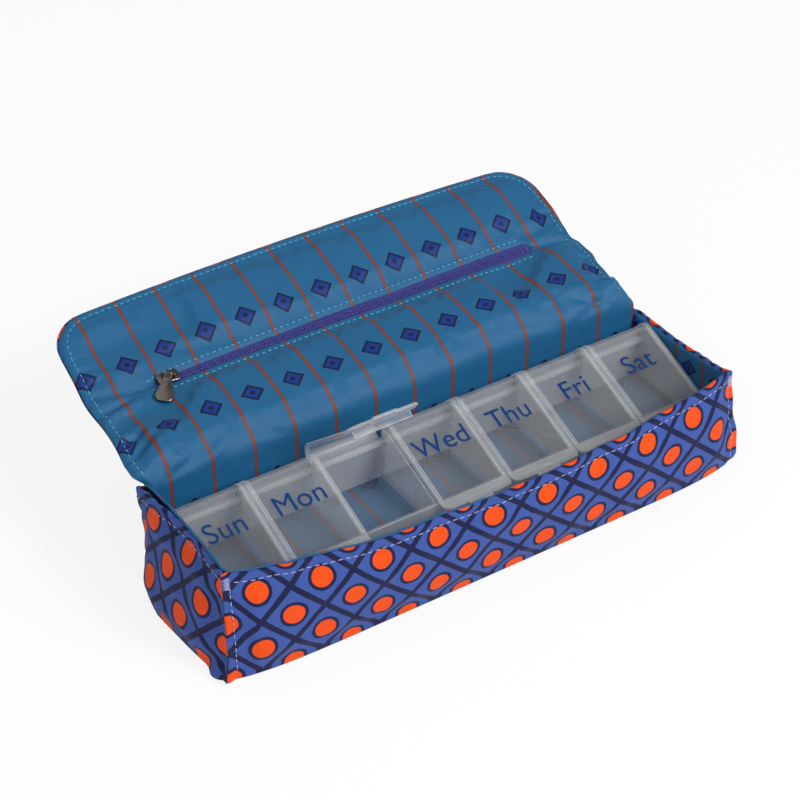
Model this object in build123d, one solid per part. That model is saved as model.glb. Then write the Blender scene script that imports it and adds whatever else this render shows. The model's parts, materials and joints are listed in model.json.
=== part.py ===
"""A soft sewn case with a folding flap, holding a strip of seven lidded compartments.

Millimetres. X runs along the case, Y towards its back, Z up.
The origin is the middle of the base, on the surface that the case stands on.
"""
from build123d import *
import os
from math import cos, radians, sin, tan

os.makedirs("parts", exist_ok=True)

# Case, outside
case_length = 243.0
case_depth = 68.8
corner_height = 48.6
rim_dip = 6.6
front_bow_low = 4.0
front_bow_high = 8.2
end_bulge_low = 2.0
end_bulge_middle = 5.0
end_bulge_high = 1.0
end_bulge_height = 22.0

# Layers of the padded walls and of the base
outer_cloth = 0.9
wall_padding = 2.4
lining_cloth = 0.8
base_cloth = 1.0
base_board_thickness = 2.0
base_foam_thickness = 9.8
sewing_gap = 0.15

# Folded cloth along the back rim, which the flap turns on
fold_radius = 2.0
fold_web = 1.8
fold_height_over_rim = 3.4
fold_end_inset = 2.5
fold_swing_gap = 0.6

# Flap, measured along its lining from the fold
zip_from_fold = 43.0
tip_length = 9.5
flap_taper = 3.5
flap_corner_radius = 17.0
flap_board = 1.2
pocket_cloth = 0.4
flap_lining = 0.8
pocket_margin = 8.0
tip_rim_gap = 0.8
tip_fold_gap = 0.3
flap_rest_angle = 8.0
flap_crease_angle = 13.0
flap_shut_rise = 3.0

# Zip of the pocket in the flap
zip_end_room = 29.0
zip_slit = 6.0
zip_coil_width = 1.8
zip_coil_height = 1.6
zip_coil_corner = 0.6
zip_tape = 0.5
zip_tape_gap = 0.3
zip_stop_length = 2.4
zip_stop_rise = 0.3

# Slider and its pull
slider_length = 9.5
slider_width = 6.4
slider_nose_width = 4.6
slider_corner = 1.4
slider_plate = 0.9
slider_flange = 0.8
slider_run_gap = 0.2
slider_lift_gap = 0.6
pull_bar_radius = 0.6
pull_bar_span = 3.4
pull_post = 1.2
pull_bar_height = 1.6
pull_bore_clearance = 0.08
pull_eye_wall = 0.6
pull_length = 14.0
pull_root_width = 4.2
pull_end_width = 8.8
pull_end_corner = 2.6
pull_thickness = 1.1
pull_swing_angle = 36.0
pull_droop_angle = 4.0

# Magnets sewn into the front wall and the flap's tip
magnet_radius = 3.2
magnet_thickness = 1.0
magnet_from_middle = 46.0
front_magnet_below_rim = 7.0
magnet_gap = 0.1

# Strip of compartments
day_names = ("sunday", "monday", "tuesday", "wednesday", "thursday", "friday", "saturday")
open_day = "tuesday"
open_angle = 61.0
tray_end_clearance = 0.85
tray_seat_gap = 0.2
tray_floor = 1.4
tray_wall = 1.5
divider_wall = 1.6
tray_corner = 3.0
lid_swing_room = 8.6
strip_front_room = 12.3

# Lids and their hinges
lid_sheet = 1.2
lid_gap = 0.3
lid_side_gap = 0.4
lid_slope = 20.5
lid_front_height = 15.2
lid_back_radius = 5.5
lid_back_offset = 1.8
lid_lip = 6.0
lid_lip_slope = 8.0
lid_lip_radius = 1.5
lid_lip_corner = 3.0
lid_rib_width = 1.8
lid_rib_height = 0.5
lid_start = 2.4
crown_over_hinge = 11.4
hinge_ear_radius = 1.9
hinge_ear_width = 3.2
hinge_barrel_radius = 1.5
hinge_pin_radius = 0.9
hinge_pin_length = 1.3
hinge_clearance = 0.06
latch_drop = 3.2
latch_wall = 0.9
thumb_tab_width = 11.0
thumb_tab_reach = 1.6

# One overrun serves every cut
overrun = 20.0

# Angle that would lay the flap level over the case
level_turn = 180.0

half_length = case_length / 2
front_y = -case_depth / 2
back_y = case_depth / 2
wall = outer_cloth + wall_padding + lining_cloth
base_top = base_cloth + base_board_thickness + base_foam_thickness + lining_cloth
inner_front_y = front_y + wall
inner_back_y = back_y - wall
fold_half = half_length - fold_end_inset
zip_length = 2 * (fold_half - zip_end_room)


def save(shape, node):
    """Write one node of the part."""
    export_step(shape, f"parts/{node}.step")


def closed_face(plane, points):
    """A flat face through points given in the plane's own two directions."""
    return plane * make_face(Polyline(*points, close=True))


def along_x(points, start, end):
    """An outline of (y, z) points, extruded along X from start to end."""
    plane = Plane(origin=(start, 0, 0), x_dir=(0, 1, 0), z_dir=(1, 0, 0))
    return extrude(closed_face(plane, points), amount=end - start)


def rod(start, end, y, z, radius):
    """A round rod along X."""
    plane = Plane(origin=(start, y, z), x_dir=(0, 1, 0), z_dir=(1, 0, 0))
    return extrude(plane * Circle(radius), amount=end - start)


# Padded walls of the case

def front_band(height, bow, outside, inside):
    """A level slice of the bowed front wall, between two distances from its outer face."""
    ends = ((-half_length, front_y), (half_length, front_y))
    lines = []
    for inset in (outside, inside):
        left, right = ((x, y + inset) for x, y in ends)
        lines.append(ThreePointArc(left, (0, front_y - bow + inset), right))
    sides = [Line(lines[0] @ 0, lines[1] @ 0), Line(lines[0] @ 1, lines[1] @ 1)]
    return Plane.XY.offset(height) * make_face(Curve() + lines + sides)


def front_layer(outside, inside):
    """One layer of the front wall, with its rim cut to a dip in the middle."""
    low = front_band(base_cloth, front_bow_low, outside, inside)
    high = front_band(corner_height, front_bow_high, outside, inside)
    layer = loft([low, high], ruled=True)
    left, right = (-half_length, corner_height), (half_length, corner_height)
    dip = ThreePointArc(left, (0, corner_height - rim_dip), right)
    lid = make_face(Curve() + [dip, Line(left, right)])
    return layer - extrude(Plane.XZ * lid, amount=case_depth, both=True)


def end_band(side, height, bulge, outside, inside):
    """A level slice of a bulging end wall. The side is -1 on the left and 1 on the right."""
    reach = back_y - wall - sewing_gap
    lines = []
    for inset in (outside, inside):
        x = side * (half_length - inset)
        lines.append(ThreePointArc((x, -reach), (x + side * bulge, 0), (x, reach)))
    sides = [Line(lines[0] @ 0, lines[1] @ 0), Line(lines[0] @ 1, lines[1] @ 1)]
    return Plane.XY.offset(height) * make_face(Curve() + lines + sides)


def end_layer(side, outside, inside):
    """One layer of an end wall, fullest below the middle of its height."""
    levels = (
        (base_cloth, end_bulge_low),
        (end_bulge_height, end_bulge_middle),
        (corner_height, end_bulge_high),
    )
    return loft([end_band(side, height, bulge, outside, inside) for height, bulge in levels])


def base_slab(bottom, thickness, inset):
    """A slab of the base, with the bowed front and the full ends of the walls above it."""
    x = half_length - inset
    front, back = front_y + inset, back_y - inset
    outline = [
        ThreePointArc((-x, front), (0, front - front_bow_low), (x, front)),
        ThreePointArc((x, front), (x + end_bulge_low, (front + back) / 2), (x, back)),
        Line((x, back), (-x, back)),
        ThreePointArc((-x, back), (-x - end_bulge_low, (front + back) / 2), (-x, front)),
    ]
    return extrude(Plane.XY.offset(bottom) * make_face(Curve() + outline), amount=thickness)


def magnet_pair(plane_of, radius, thickness):
    """Two discs, one each side of the middle, each centred on the plane for its X."""
    discs = [
        extrude(plane_of(x) * Circle(radius), amount=thickness / 2, both=True)
        for x in (-magnet_from_middle, magnet_from_middle)
    ]
    return Part() + discs


layer_edges = (0.0, outer_cloth, outer_cloth + wall_padding, wall)


def front_magnet_plane(x):
    """The middle of the front wall's padding near its rim, facing out of the wall."""
    across_share = 1 - (x / half_length) ** 2
    height = corner_height - rim_dip * across_share - front_magnet_below_rim
    up_share = (height - base_cloth) / (corner_height - base_cloth)
    bow = front_bow_low + (front_bow_high - front_bow_low) * up_share
    lean = (front_bow_high - front_bow_low) * across_share / (corner_height - base_cloth)
    turn = 2 * bow * x / half_length ** 2
    y = front_y - bow * across_share + outer_cloth + wall_padding / 2
    return Plane(origin=(x, y, height), x_dir=(1, turn, 0), z_dir=(turn, -1, -lean))


front_magnets = magnet_pair(front_magnet_plane, magnet_radius, magnet_thickness)
magnet_room = magnet_pair(
    front_magnet_plane, magnet_radius + magnet_gap, magnet_thickness + 2 * magnet_gap
)
save(front_magnets, "front_magnets")
save(front_layer(*layer_edges[0:2]), "front_outer")
save(front_layer(*layer_edges[1:3]) - magnet_room, "front_padding")
save(front_layer(*layer_edges[2:4]), "front_lining")

for side, end_name in ((-1, "left_end"), (1, "right_end")):
    for layer, (outside, inside) in zip(
        ("outer", "padding", "lining"), zip(layer_edges, layer_edges[1:])
    ):
        save(end_layer(side, outside, inside), f"{end_name}_{layer}")

board_bottom = base_cloth
foam_bottom = board_bottom + base_board_thickness
lining_bottom = foam_bottom + base_foam_thickness
inner_inset = wall + sewing_gap
save(base_slab(0, base_cloth, 0), "base_outer")
save(base_slab(board_bottom, base_board_thickness, inner_inset), "base_board")
save(base_slab(foam_bottom, base_foam_thickness, inner_inset), "base_foam")
save(base_slab(lining_bottom, lining_cloth, inner_inset), "base_lining")

# Back wall, and the rolled fold of cloth at its top
fold_y = back_y - wall / 2
fold_z = corner_height + fold_height_over_rim
flap_under = outer_cloth + flap_board
flap_over = pocket_cloth + flap_lining
flap_start = fold_radius + fold_swing_gap
back_skin_top = fold_z - ((flap_start ** 2 + flap_under ** 2) ** (1 / 2)) - sewing_gap
back_board_top = back_skin_top - fold_web


def back_layer(outside, inside, top):
    """One flat layer of the back wall."""
    points = (
        (back_y - outside, base_cloth),
        (back_y - outside, top),
        (back_y - inside, top),
        (back_y - inside, base_cloth),
    )
    return along_x(points, -half_length, half_length)


save(back_layer(layer_edges[0], layer_edges[1], back_skin_top), "back_outer")
save(back_layer(layer_edges[1], layer_edges[2], back_board_top), "back_board")
save(back_layer(layer_edges[2], layer_edges[3], back_skin_top), "back_lining")

web_points = (
    (fold_y - fold_web / 2, back_board_top),
    (fold_y + fold_web / 2, back_board_top),
    (fold_y + fold_web / 2, fold_z),
    (fold_y - fold_web / 2, fold_z),
)
roll = rod(-fold_half, fold_half, fold_y, fold_z, fold_radius)
save(roll + along_x(web_points, -fold_half, fold_half), "hinge_fold")

# Flap: two flat parts that meet at the zip's crease
lower_turn = radians(flap_rest_angle)
upper_turn = radians(flap_rest_angle + flap_crease_angle)
lower_way, lower_normal = (cos(lower_turn), sin(lower_turn)), (-sin(lower_turn), cos(lower_turn))
upper_way, upper_normal = (cos(upper_turn), sin(upper_turn)), (-sin(upper_turn), cos(upper_turn))
shut_fall = flap_crease_angle - flap_shut_rise
rim_middle_share = (corner_height - rim_dip - base_cloth) / (corner_height - base_cloth)
rim_middle_bow = front_bow_low + (front_bow_high - front_bow_low) * rim_middle_share
shut_crease_y = fold_y - zip_from_fold * cos(radians(flap_shut_rise))
shut_reach = shut_crease_y - (front_y - rim_middle_bow) + flap_over + tip_rim_gap
tip_from_fold = zip_from_fold + shut_reach / cos(radians(shut_fall))
flap_length = tip_from_fold + tip_length


def flap_point(along, above):
    """The (y, z) of a point on the flap: along it from the fold, and above its middle line."""
    if along < zip_from_fold:
        way, normal, base, run = lower_way, lower_normal, (fold_y, fold_z), along
    else:
        base = (fold_y + zip_from_fold * lower_way[0], fold_z + zip_from_fold * lower_way[1])
        way, normal, run = upper_way, upper_normal, along - zip_from_fold
    return (
        base[0] + run * way[0] + above * normal[0],
        base[1] + run * way[1] + above * normal[1],
    )


def crease_point(above):
    """The (y, z) of the crease at a height above the flap's middle line, on the mitre."""
    y, z = flap_point(zip_from_fold, 0)
    middle = radians(flap_rest_angle + flap_crease_angle / 2)
    reach = above / cos(radians(flap_crease_angle / 2))
    return y - reach * sin(middle), z + reach * cos(middle)


def flap_plane(along, above, crease=False):
    """A plane on the flap, with X along the case, Y along the flap and Z out of its lining."""
    y, z = crease_point(above) if crease else flap_point(along, above)
    turn = lower_turn if along < zip_from_fold else upper_turn
    if crease:
        turn = (lower_turn + upper_turn) / 2
    return Plane(origin=(0, y, z), x_dir=(1, 0, 0), z_dir=(0, -sin(turn), cos(turn)))


def flap_outline():
    """A tall prism of the flap's plan: narrower and rounded at its free edge."""
    middle = (lower_turn + upper_turn) / 2
    end_y, end_z = flap_point(flap_length, 0)
    reach = (end_y - fold_y) * cos(middle) + (end_z - fold_z) * sin(middle)
    root, free = fold_half, fold_half - flap_taper
    plan = make_face(Polyline((-root, 0), (root, 0), (free, reach), (-free, reach), close=True))
    plan = fillet(plan.vertices().sort_by(Axis.Y)[-2:], flap_corner_radius)
    plane = Plane(
        origin=(0, fold_y, fold_z), x_dir=(1, 0, 0), z_dir=(0, -sin(middle), cos(middle))
    )
    return extrude(plane * plan, amount=overrun, both=True)


outline = flap_outline()


def flap_layer(low, high, start, end):
    """A layer of the flap between two heights over its middle line, along a stretch of it."""
    stations = [start, end]
    if start < zip_from_fold < end:
        stations.insert(1, zip_from_fold)
    below = [layer_point(along, low) for along in stations]
    over = [layer_point(along, high) for along in reversed(stations)]
    return along_x(below + over, -fold_half, fold_half) & outline


def layer_point(along, above):
    """A corner of a layer, on the mitre where it lies at the crease."""
    return crease_point(above) if along == zip_from_fold else flap_point(along, above)


def flap_window(start, end, width):
    """A block through the flap, over a stretch of it and a width across its middle."""
    points = [
        flap_point(start, -overrun),
        flap_point(end, -overrun),
        flap_point(end, overrun),
        flap_point(start, overrun),
    ]
    return along_x(points, -width / 2, width / 2)


main_end = tip_from_fold - tip_fold_gap
pocket_width = zip_length + 2 * pocket_margin
pocket_room = flap_window(flap_start + pocket_margin, main_end - pocket_margin, pocket_width)
slit_start = zip_from_fold - zip_slit / 2
slit_end = zip_from_fold + zip_slit / 2
slit_width = zip_length + 2 * zip_stop_length
slit = flap_window(slit_start, slit_end, slit_width)
save(flap_layer(-flap_under, -flap_board, flap_start, main_end), "flap_outer")
save(flap_layer(-flap_board, 0, flap_start, main_end), "flap_board")
save(flap_layer(0, pocket_cloth, flap_start, main_end) & pocket_room, "pocket_bag")
save(flap_layer(pocket_cloth, flap_over, flap_start, zip_from_fold) - slit, "flap_lining_lower")
save(flap_layer(pocket_cloth, flap_over, zip_from_fold, main_end) - slit, "flap_lining_upper")

# Zip tapes and coil in the slit of the lining
tape_top = pocket_cloth + zip_tape
coil_side = zip_coil_width / 2 + zip_tape_gap
lower_tape = flap_layer(pocket_cloth, tape_top, slit_start, zip_from_fold - coil_side)
upper_tape = flap_layer(pocket_cloth, tape_top, zip_from_fold + coil_side, slit_end)
save(lower_tape & slit, "zip_tape_lower")
save(upper_tape & slit, "zip_tape_upper")
coil_lift = zip_coil_width / 2 * tan(radians(flap_crease_angle / 2))
crease_plane = flap_plane(zip_from_fold, pocket_cloth + coil_lift, crease=True)


def zip_bar(start, end, rise):
    """A rounded bar along the crease, standing on the pocket cloth."""
    height = zip_coil_height + rise
    section = Plane(
        origin=crease_plane.origin + Vector(start, 0, 0) + crease_plane.z_dir * (height / 2),
        x_dir=crease_plane.y_dir,
        z_dir=(1, 0, 0),
    )
    face = section * RectangleRounded(zip_coil_width, height, zip_coil_corner)
    return extrude(face, amount=end - start)


half_zip = zip_length / 2
save(zip_bar(-half_zip, half_zip, 0), "zip_coil")
stops = [
    zip_bar(-half_zip - zip_stop_length, -half_zip, zip_stop_rise),
    zip_bar(half_zip, half_zip + zip_stop_length, zip_stop_rise),
]
save(Part() + stops, "zip_stops")

# Slider over the coil, and the pull on its bar
slider_x = -half_zip + slider_length / 2 + slider_run_gap
slider_base = zip_coil_height + slider_run_gap
slider_plane = Plane(
    origin=crease_plane.origin + Vector(slider_x, 0, 0) + crease_plane.z_dir * slider_base,
    x_dir=(1, 0, 0),
    z_dir=crease_plane.z_dir,
)


def slider_body():
    """A plate over the coil with a flange down each side, and a bar for the pull on top."""
    half, wide, nose = slider_length / 2, slider_width / 2, slider_nose_width / 2
    plan = make_face(Polyline((-half, -nose), (half, -wide), (half, wide), (-half, nose), close=True))
    plan = fillet(plan.vertices(), slider_corner)
    plate = extrude(slider_plane * plan, amount=slider_plate)
    depth = slider_base - zip_tape - slider_lift_gap
    flange_y = zip_coil_width / 2 + slider_run_gap + slider_flange / 2
    flange_length = slider_length - 2 * slider_corner
    flanges = [
        extrude(
            slider_plane * Pos(0, side * flange_y) * Rectangle(flange_length, slider_flange),
            amount=-depth,
        )
        for side in (-1, 1)
    ]
    return plate + flanges


swing = radians(pull_swing_angle)
pull_way = slider_plane.x_dir * -sin(swing) + slider_plane.y_dir * -cos(swing)
bar_way = slider_plane.z_dir.cross(pull_way)
bar_centre = slider_plane.origin + slider_plane.z_dir * (slider_plate + pull_bar_height)
bar_plane = Plane(origin=bar_centre, x_dir=pull_way, z_dir=bar_way)
bar = extrude(bar_plane * Circle(pull_bar_radius), amount=pull_bar_span / 2 + pull_post, both=True)
posts = []
for side in (-1, 1):
    foot = slider_plane.origin + bar_way * (side * (pull_bar_span + pull_post) / 2)
    post_plane = Plane(origin=foot, x_dir=pull_way, z_dir=slider_plane.z_dir)
    post_face = post_plane * Rectangle(2 * pull_bar_radius, pull_post)
    posts.append(extrude(post_face, amount=slider_plate + pull_bar_height))
save(slider_body() + bar + posts, "zip_slider")


def pull_tab():
    """A flat tab that widens from an eye on the slider's bar to a rounded end."""
    droop = radians(pull_droop_angle)
    way = pull_way * cos(droop) - slider_plane.z_dir * sin(droop)
    normal = slider_plane.z_dir * cos(droop) + pull_way * sin(droop)
    flat = Plane(origin=bar_centre, x_dir=way, z_dir=normal)
    bore = pull_bar_radius + pull_bore_clearance
    root, end = pull_root_width / 2, pull_end_width / 2
    eye_side = pull_bar_span / 2 - slider_run_gap
    plan = make_face(
        Polyline(
            (0, -eye_side), (pull_root_width, -root), (pull_length, -end),
            (pull_length, end), (pull_root_width, root), (0, eye_side), close=True,
        )
    )
    plan = fillet(plan.vertices().sort_by(Axis.X)[-2:], pull_end_corner)
    tab = extrude(flat * plan, amount=pull_thickness / 2, both=True)
    eye = extrude(bar_plane * Circle(bore + pull_eye_wall), amount=eye_side, both=True)
    return tab + eye - extrude(bar_plane * Circle(bore), amount=pull_end_width, both=True)


save(pull_tab(), "zip_pull_tab")

# Flap's tip, which folds down over the front rim
tip_core_top = pocket_cloth


def tip_magnet_plane(x):
    """The middle of the tip's stiffener, facing out of its lining."""
    y, z = flap_point(tip_from_fold + tip_length / 2, (tip_core_top - flap_board) / 2)
    return Plane(origin=(x, y, z), x_dir=(1, 0, 0), z_dir=(0, *upper_normal))


tip_end = flap_length + overrun
save(flap_layer(-flap_under, -flap_board, tip_from_fold, tip_end), "flap_tip_outer")
tip_room = magnet_pair(
    tip_magnet_plane, magnet_radius + magnet_gap, magnet_thickness + 2 * magnet_gap
)
save(flap_layer(-flap_board, tip_core_top, tip_from_fold, tip_end) - tip_room, "flap_tip_board")
save(flap_layer(tip_core_top, flap_over, tip_from_fold, tip_end), "flap_tip_lining")
save(magnet_pair(tip_magnet_plane, magnet_radius, magnet_thickness), "flap_magnets")

# Strip: a tray of seven compartments and their lids
tray_half = half_length - wall - tray_end_clearance
pitch = 2 * tray_half / len(day_names)
tray_bottom = base_top + tray_seat_gap
axis_y = inner_back_y - lid_swing_room
lid_back_y = axis_y + lid_back_offset
slope = tan(radians(lid_slope))
lid_front = (inner_front_y + strip_front_room, tray_bottom + lid_front_height)
axis_z = lid_front[1] + (lid_back_y - lid_front[0]) * slope - crown_over_hinge


def lid_path(offset):
    """Corners of the lid's outer surface, moved out by an offset: back, crown, front and lip."""
    lean = radians(lid_slope)
    lip_lean = radians(lid_lip_slope)
    back_y_here = lid_back_y + offset
    rise = offset / cos(lean)
    crown = (back_y_here, lid_front[1] + (back_y_here - lid_front[0]) * slope + rise)
    half_turn = (lean + lip_lean) / 2
    knee_reach = offset / cos((lean - lip_lean) / 2)
    front = (
        lid_front[0] - knee_reach * sin(half_turn),
        lid_front[1] + knee_reach * cos(half_turn),
    )
    lip_start = (lid_front[0] - offset * sin(lip_lean), lid_front[1] + offset * cos(lip_lean))
    lip = (lip_start[0] - lid_lip * cos(lip_lean), lip_start[1] - lid_lip * sin(lip_lean))
    return (back_y_here, axis_z + lid_start), crown, front, lip


def lid_band(low, high, with_lip, start, end):
    """The lid's sheet, or a layer on it, between two offsets from its outer surface."""
    count = 4 if with_lip else 3
    paths = []
    for offset in (low, high):
        radii = [lid_back_radius + offset, lid_lip_radius][: count - 2]
        paths.append(FilletPolyline(*lid_path(offset)[:count], radius=radii))
    ends = [Line(paths[0] @ 0, paths[1] @ 0), Line(paths[0] @ 1, paths[1] @ 1)]
    plane = Plane(origin=(start, 0, 0), x_dir=(0, 1, 0), z_dir=(1, 0, 0))
    return extrude(plane * make_face(Curve() + paths + ends), amount=end - start)


def tray_plate(start, end):
    """A divider or an end of the tray, with its top edge just under the lids."""
    under = -lid_sheet - lid_gap
    path = lid_path(under)[:3]
    top = FilletPolyline(*path, radius=[lid_back_radius + under])
    front = lid_front[0]
    rest = Polyline(
        path[2], (front, path[2][1]), (front, tray_bottom), (lid_back_y, tray_bottom),
        (lid_back_y, axis_z), (path[0][0], axis_z), path[0],
    )
    plane = Plane(origin=(start, 0, 0), x_dir=(0, 1, 0), z_dir=(1, 0, 0))
    return extrude(plane * make_face(Curve() + [top, rest]), amount=end - start)


def wall_box(y_low, y_high, z_low, z_high):
    """A wall of the tray along its whole length."""
    points = ((y_low, z_low), (y_high, z_low), (y_high, z_high), (y_low, z_high))
    return along_x(points, -tray_half, tray_half)


def tray_shape():
    """Floor, front and back walls, dividers and the ears that the lids turn in."""
    front, back = lid_front[0], lid_back_y
    front_top = lid_path(-lid_sheet - lid_gap)[2][1]
    back_top = axis_z - hinge_barrel_radius - lid_gap
    tray = wall_box(front, back, tray_bottom, tray_bottom + tray_floor)
    tray += wall_box(front, front + tray_wall, tray_bottom, front_top)
    tray += wall_box(back - tray_wall, back, tray_bottom, back_top)
    for index in range(len(day_names) + 1):
        middle = -tray_half + index * pitch
        plate_reach = tray_half - divider_wall / 2
        plate_middle = max(-plate_reach, min(middle, plate_reach))
        ear_start = max(middle - hinge_ear_width / 2, -tray_half)
        ear_end = min(middle + hinge_ear_width / 2, tray_half)
        tray += tray_plate(plate_middle - divider_wall / 2, plate_middle + divider_wall / 2)
        tray += rod(ear_start, ear_end, axis_y, axis_z, hinge_ear_radius)
        foot = (
            (axis_y - hinge_ear_radius, back_top - hinge_ear_radius),
            (back, back_top - hinge_ear_radius),
            (back, axis_z),
            (axis_y - hinge_ear_radius, axis_z),
        )
        tray += along_x(foot, ear_start, ear_end)
    depth = back + hinge_ear_radius - front
    plan = Plane.XY.offset(tray_bottom - overrun) * Pos(0, front + depth / 2)
    keep = extrude(plan * RectangleRounded(2 * tray_half, depth, tray_corner), amount=case_depth * 2)
    bore = rod(-half_length, half_length, axis_y, axis_z, hinge_pin_radius + hinge_clearance)
    return (tray & keep) - bore


save(tray_shape(), "tray")


def lid_shape(left):
    """A shut lid whose compartment starts at X left."""
    start, end = left + lid_side_gap, left + pitch - lid_side_gap
    lid = lid_band(-lid_sheet, 0, True, start, end)
    lid += lid_band(0, lid_rib_height, False, start, start + lid_rib_width)
    lid += lid_band(0, lid_rib_height, False, end - lid_rib_width, end)
    lip_end = lid_path(0)[3]
    plan_depth = lid_back_y + lid_rib_height - lip_end[0]
    centre = ((start + end) / 2, lip_end[0] + plan_depth)
    plan = RectangleRounded(end - start, 2 * plan_depth, lid_lip_corner)
    keep = extrude(Plane.XY.offset(tray_bottom) * Pos(*centre) * plan, amount=case_depth)
    lid = lid & keep
    tab_middle = (start + end) / 2
    tab_low, tab_high = lid_path(-lid_sheet)[3], lip_end
    tab = (
        (tab_low[0] + lid_lip / 2, tab_low[1]), (tab_high[0] + lid_lip / 2, tab_high[1]),
        (tab_high[0] - thumb_tab_reach, tab_high[1]), (tab_low[0] - thumb_tab_reach, tab_low[1]),
    )
    lid += along_x(tab, tab_middle - thumb_tab_width / 2, tab_middle + thumb_tab_width / 2)
    latch_y = lid_front[0] - lid_gap
    latch_z = lid_path(-lid_sheet / 2)[2][1] - lid_sheet / 2
    latch = (
        (latch_y - latch_wall, latch_z - latch_drop), (latch_y, latch_z - latch_drop),
        (latch_y, latch_z), (latch_y - latch_wall, latch_z),
    )
    lid += along_x(latch, start + lid_lip_corner, end - lid_lip_corner)
    barrel_start = left + hinge_ear_width / 2 + lid_side_gap
    barrel_end = left + pitch - hinge_ear_width / 2 - lid_side_gap
    lid += rod(barrel_start, barrel_end, axis_y, axis_z, hinge_barrel_radius)
    back_low, back_high = lid_path(-lid_sheet)[0], lid_path(0)[0]
    web = (
        (axis_y, axis_z), (axis_y + hinge_barrel_radius, axis_z),
        (back_high[0], back_high[1] + lid_start), (back_low[0], back_low[1] + lid_start),
    )
    lid += along_x(web, barrel_start, barrel_end)
    pin_start, pin_end = barrel_start - lid_side_gap, barrel_end + lid_side_gap
    return lid + rod(
        pin_start - hinge_pin_length, pin_end + hinge_pin_length, axis_y, axis_z, hinge_pin_radius
    )


hinge_axis = Axis((0, axis_y, axis_z), (1, 0, 0))
for index, day in enumerate(day_names):
    lid = lid_shape(-tray_half + index * pitch)
    if day == open_day:
        lid = lid.rotate(hinge_axis, -open_angle)
    save(lid, f"lid_{day}")

# Places that the joints and openings are read from
print("flap fold axis", fold_y, fold_z, "shuts by", level_turn - flap_shut_rise - flap_rest_angle)
print("tip fold axis", flap_point(tip_from_fold, flap_over), "flap length", flap_length)
print("slider", slider_plane.origin, "travel", zip_length - slider_length - 2 * slider_run_gap)
print("pull bar", bar_centre, bar_way)
print("lid axis", axis_y, axis_z, "pitch", pitch, "tray half", tray_half)
print("tray bottom", tray_bottom, "lid front", lid_front, "lid back", lid_back_y)
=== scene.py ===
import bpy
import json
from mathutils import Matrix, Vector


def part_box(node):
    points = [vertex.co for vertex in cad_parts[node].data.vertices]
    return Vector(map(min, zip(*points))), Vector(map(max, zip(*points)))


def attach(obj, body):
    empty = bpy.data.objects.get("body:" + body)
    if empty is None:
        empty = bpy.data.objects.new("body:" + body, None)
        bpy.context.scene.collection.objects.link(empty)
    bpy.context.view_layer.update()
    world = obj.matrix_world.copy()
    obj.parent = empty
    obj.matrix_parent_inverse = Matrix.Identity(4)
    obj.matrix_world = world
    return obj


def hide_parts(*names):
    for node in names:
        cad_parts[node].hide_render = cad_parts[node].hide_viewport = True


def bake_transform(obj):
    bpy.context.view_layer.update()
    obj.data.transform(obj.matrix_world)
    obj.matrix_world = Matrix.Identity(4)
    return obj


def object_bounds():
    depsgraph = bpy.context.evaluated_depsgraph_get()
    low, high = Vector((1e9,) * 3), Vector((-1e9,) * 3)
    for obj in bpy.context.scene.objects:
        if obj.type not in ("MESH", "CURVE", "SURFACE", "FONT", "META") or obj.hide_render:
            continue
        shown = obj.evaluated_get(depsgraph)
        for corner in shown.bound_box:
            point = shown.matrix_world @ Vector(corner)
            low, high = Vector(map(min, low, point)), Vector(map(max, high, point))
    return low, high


bl_info = {
    "name": "Weekly pill case",
    "version": (1, 0, 0),
    "blender": (4, 5, 0),
    "location": "View3D > Sidebar > Pill case",
    "description": "Dresses a sewn case with a zipped flap and a strip of seven lidded boxes",
    "category": "Object",
}

import json
from math import cos, exp, pi, radians, sin, sqrt

import bmesh
import bpy
from bpy.props import FloatProperty, FloatVectorProperty, PointerProperty
from mathutils import Matrix, Vector, noise
from mathutils.bvhtree import BVHTree

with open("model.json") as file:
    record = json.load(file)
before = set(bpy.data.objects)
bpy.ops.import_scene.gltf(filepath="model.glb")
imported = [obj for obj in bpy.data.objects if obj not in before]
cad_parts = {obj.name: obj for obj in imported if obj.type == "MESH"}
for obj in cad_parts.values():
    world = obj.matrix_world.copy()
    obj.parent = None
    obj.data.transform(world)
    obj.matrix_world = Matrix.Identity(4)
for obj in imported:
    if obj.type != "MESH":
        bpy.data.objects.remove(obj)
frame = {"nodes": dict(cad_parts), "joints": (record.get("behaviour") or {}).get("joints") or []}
cad_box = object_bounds()

MM = 0.001
DAYS = ("sunday", "monday", "tuesday", "wednesday", "thursday", "friday", "saturday")


def joint_place(name):
    """Where a joint's axis passes, in metres."""
    return Vector(next(j["pos_m"] for j in frame["joints"] if j["name"] == name))


def screen_colour(red, green, blue):
    """A colour written as a screen shows it, turned into light."""
    return tuple((v / 255) ** 2.2 for v in (red, green, blue))


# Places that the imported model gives
FOLD = joint_place("flap_hinge")
LID_PIN = joint_place("lid_sunday_hinge")
HALF_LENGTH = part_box("front_outer")[1].x
HALF_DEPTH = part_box("back_outer")[1].y
LINING_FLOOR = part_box("base_lining")[1].z


def length(name, text, default):
    return FloatProperty(name=name, description=text, default=default, unit="LENGTH")


def angle(name, text, degrees):
    return FloatProperty(name=name, description=text, default=radians(degrees), subtype="ANGLE")


def colour(name, text, default):
    return FloatVectorProperty(name=name, description=text, default=default, size=3,
                               subtype="COLOR", min=0.0, max=1.0)


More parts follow.
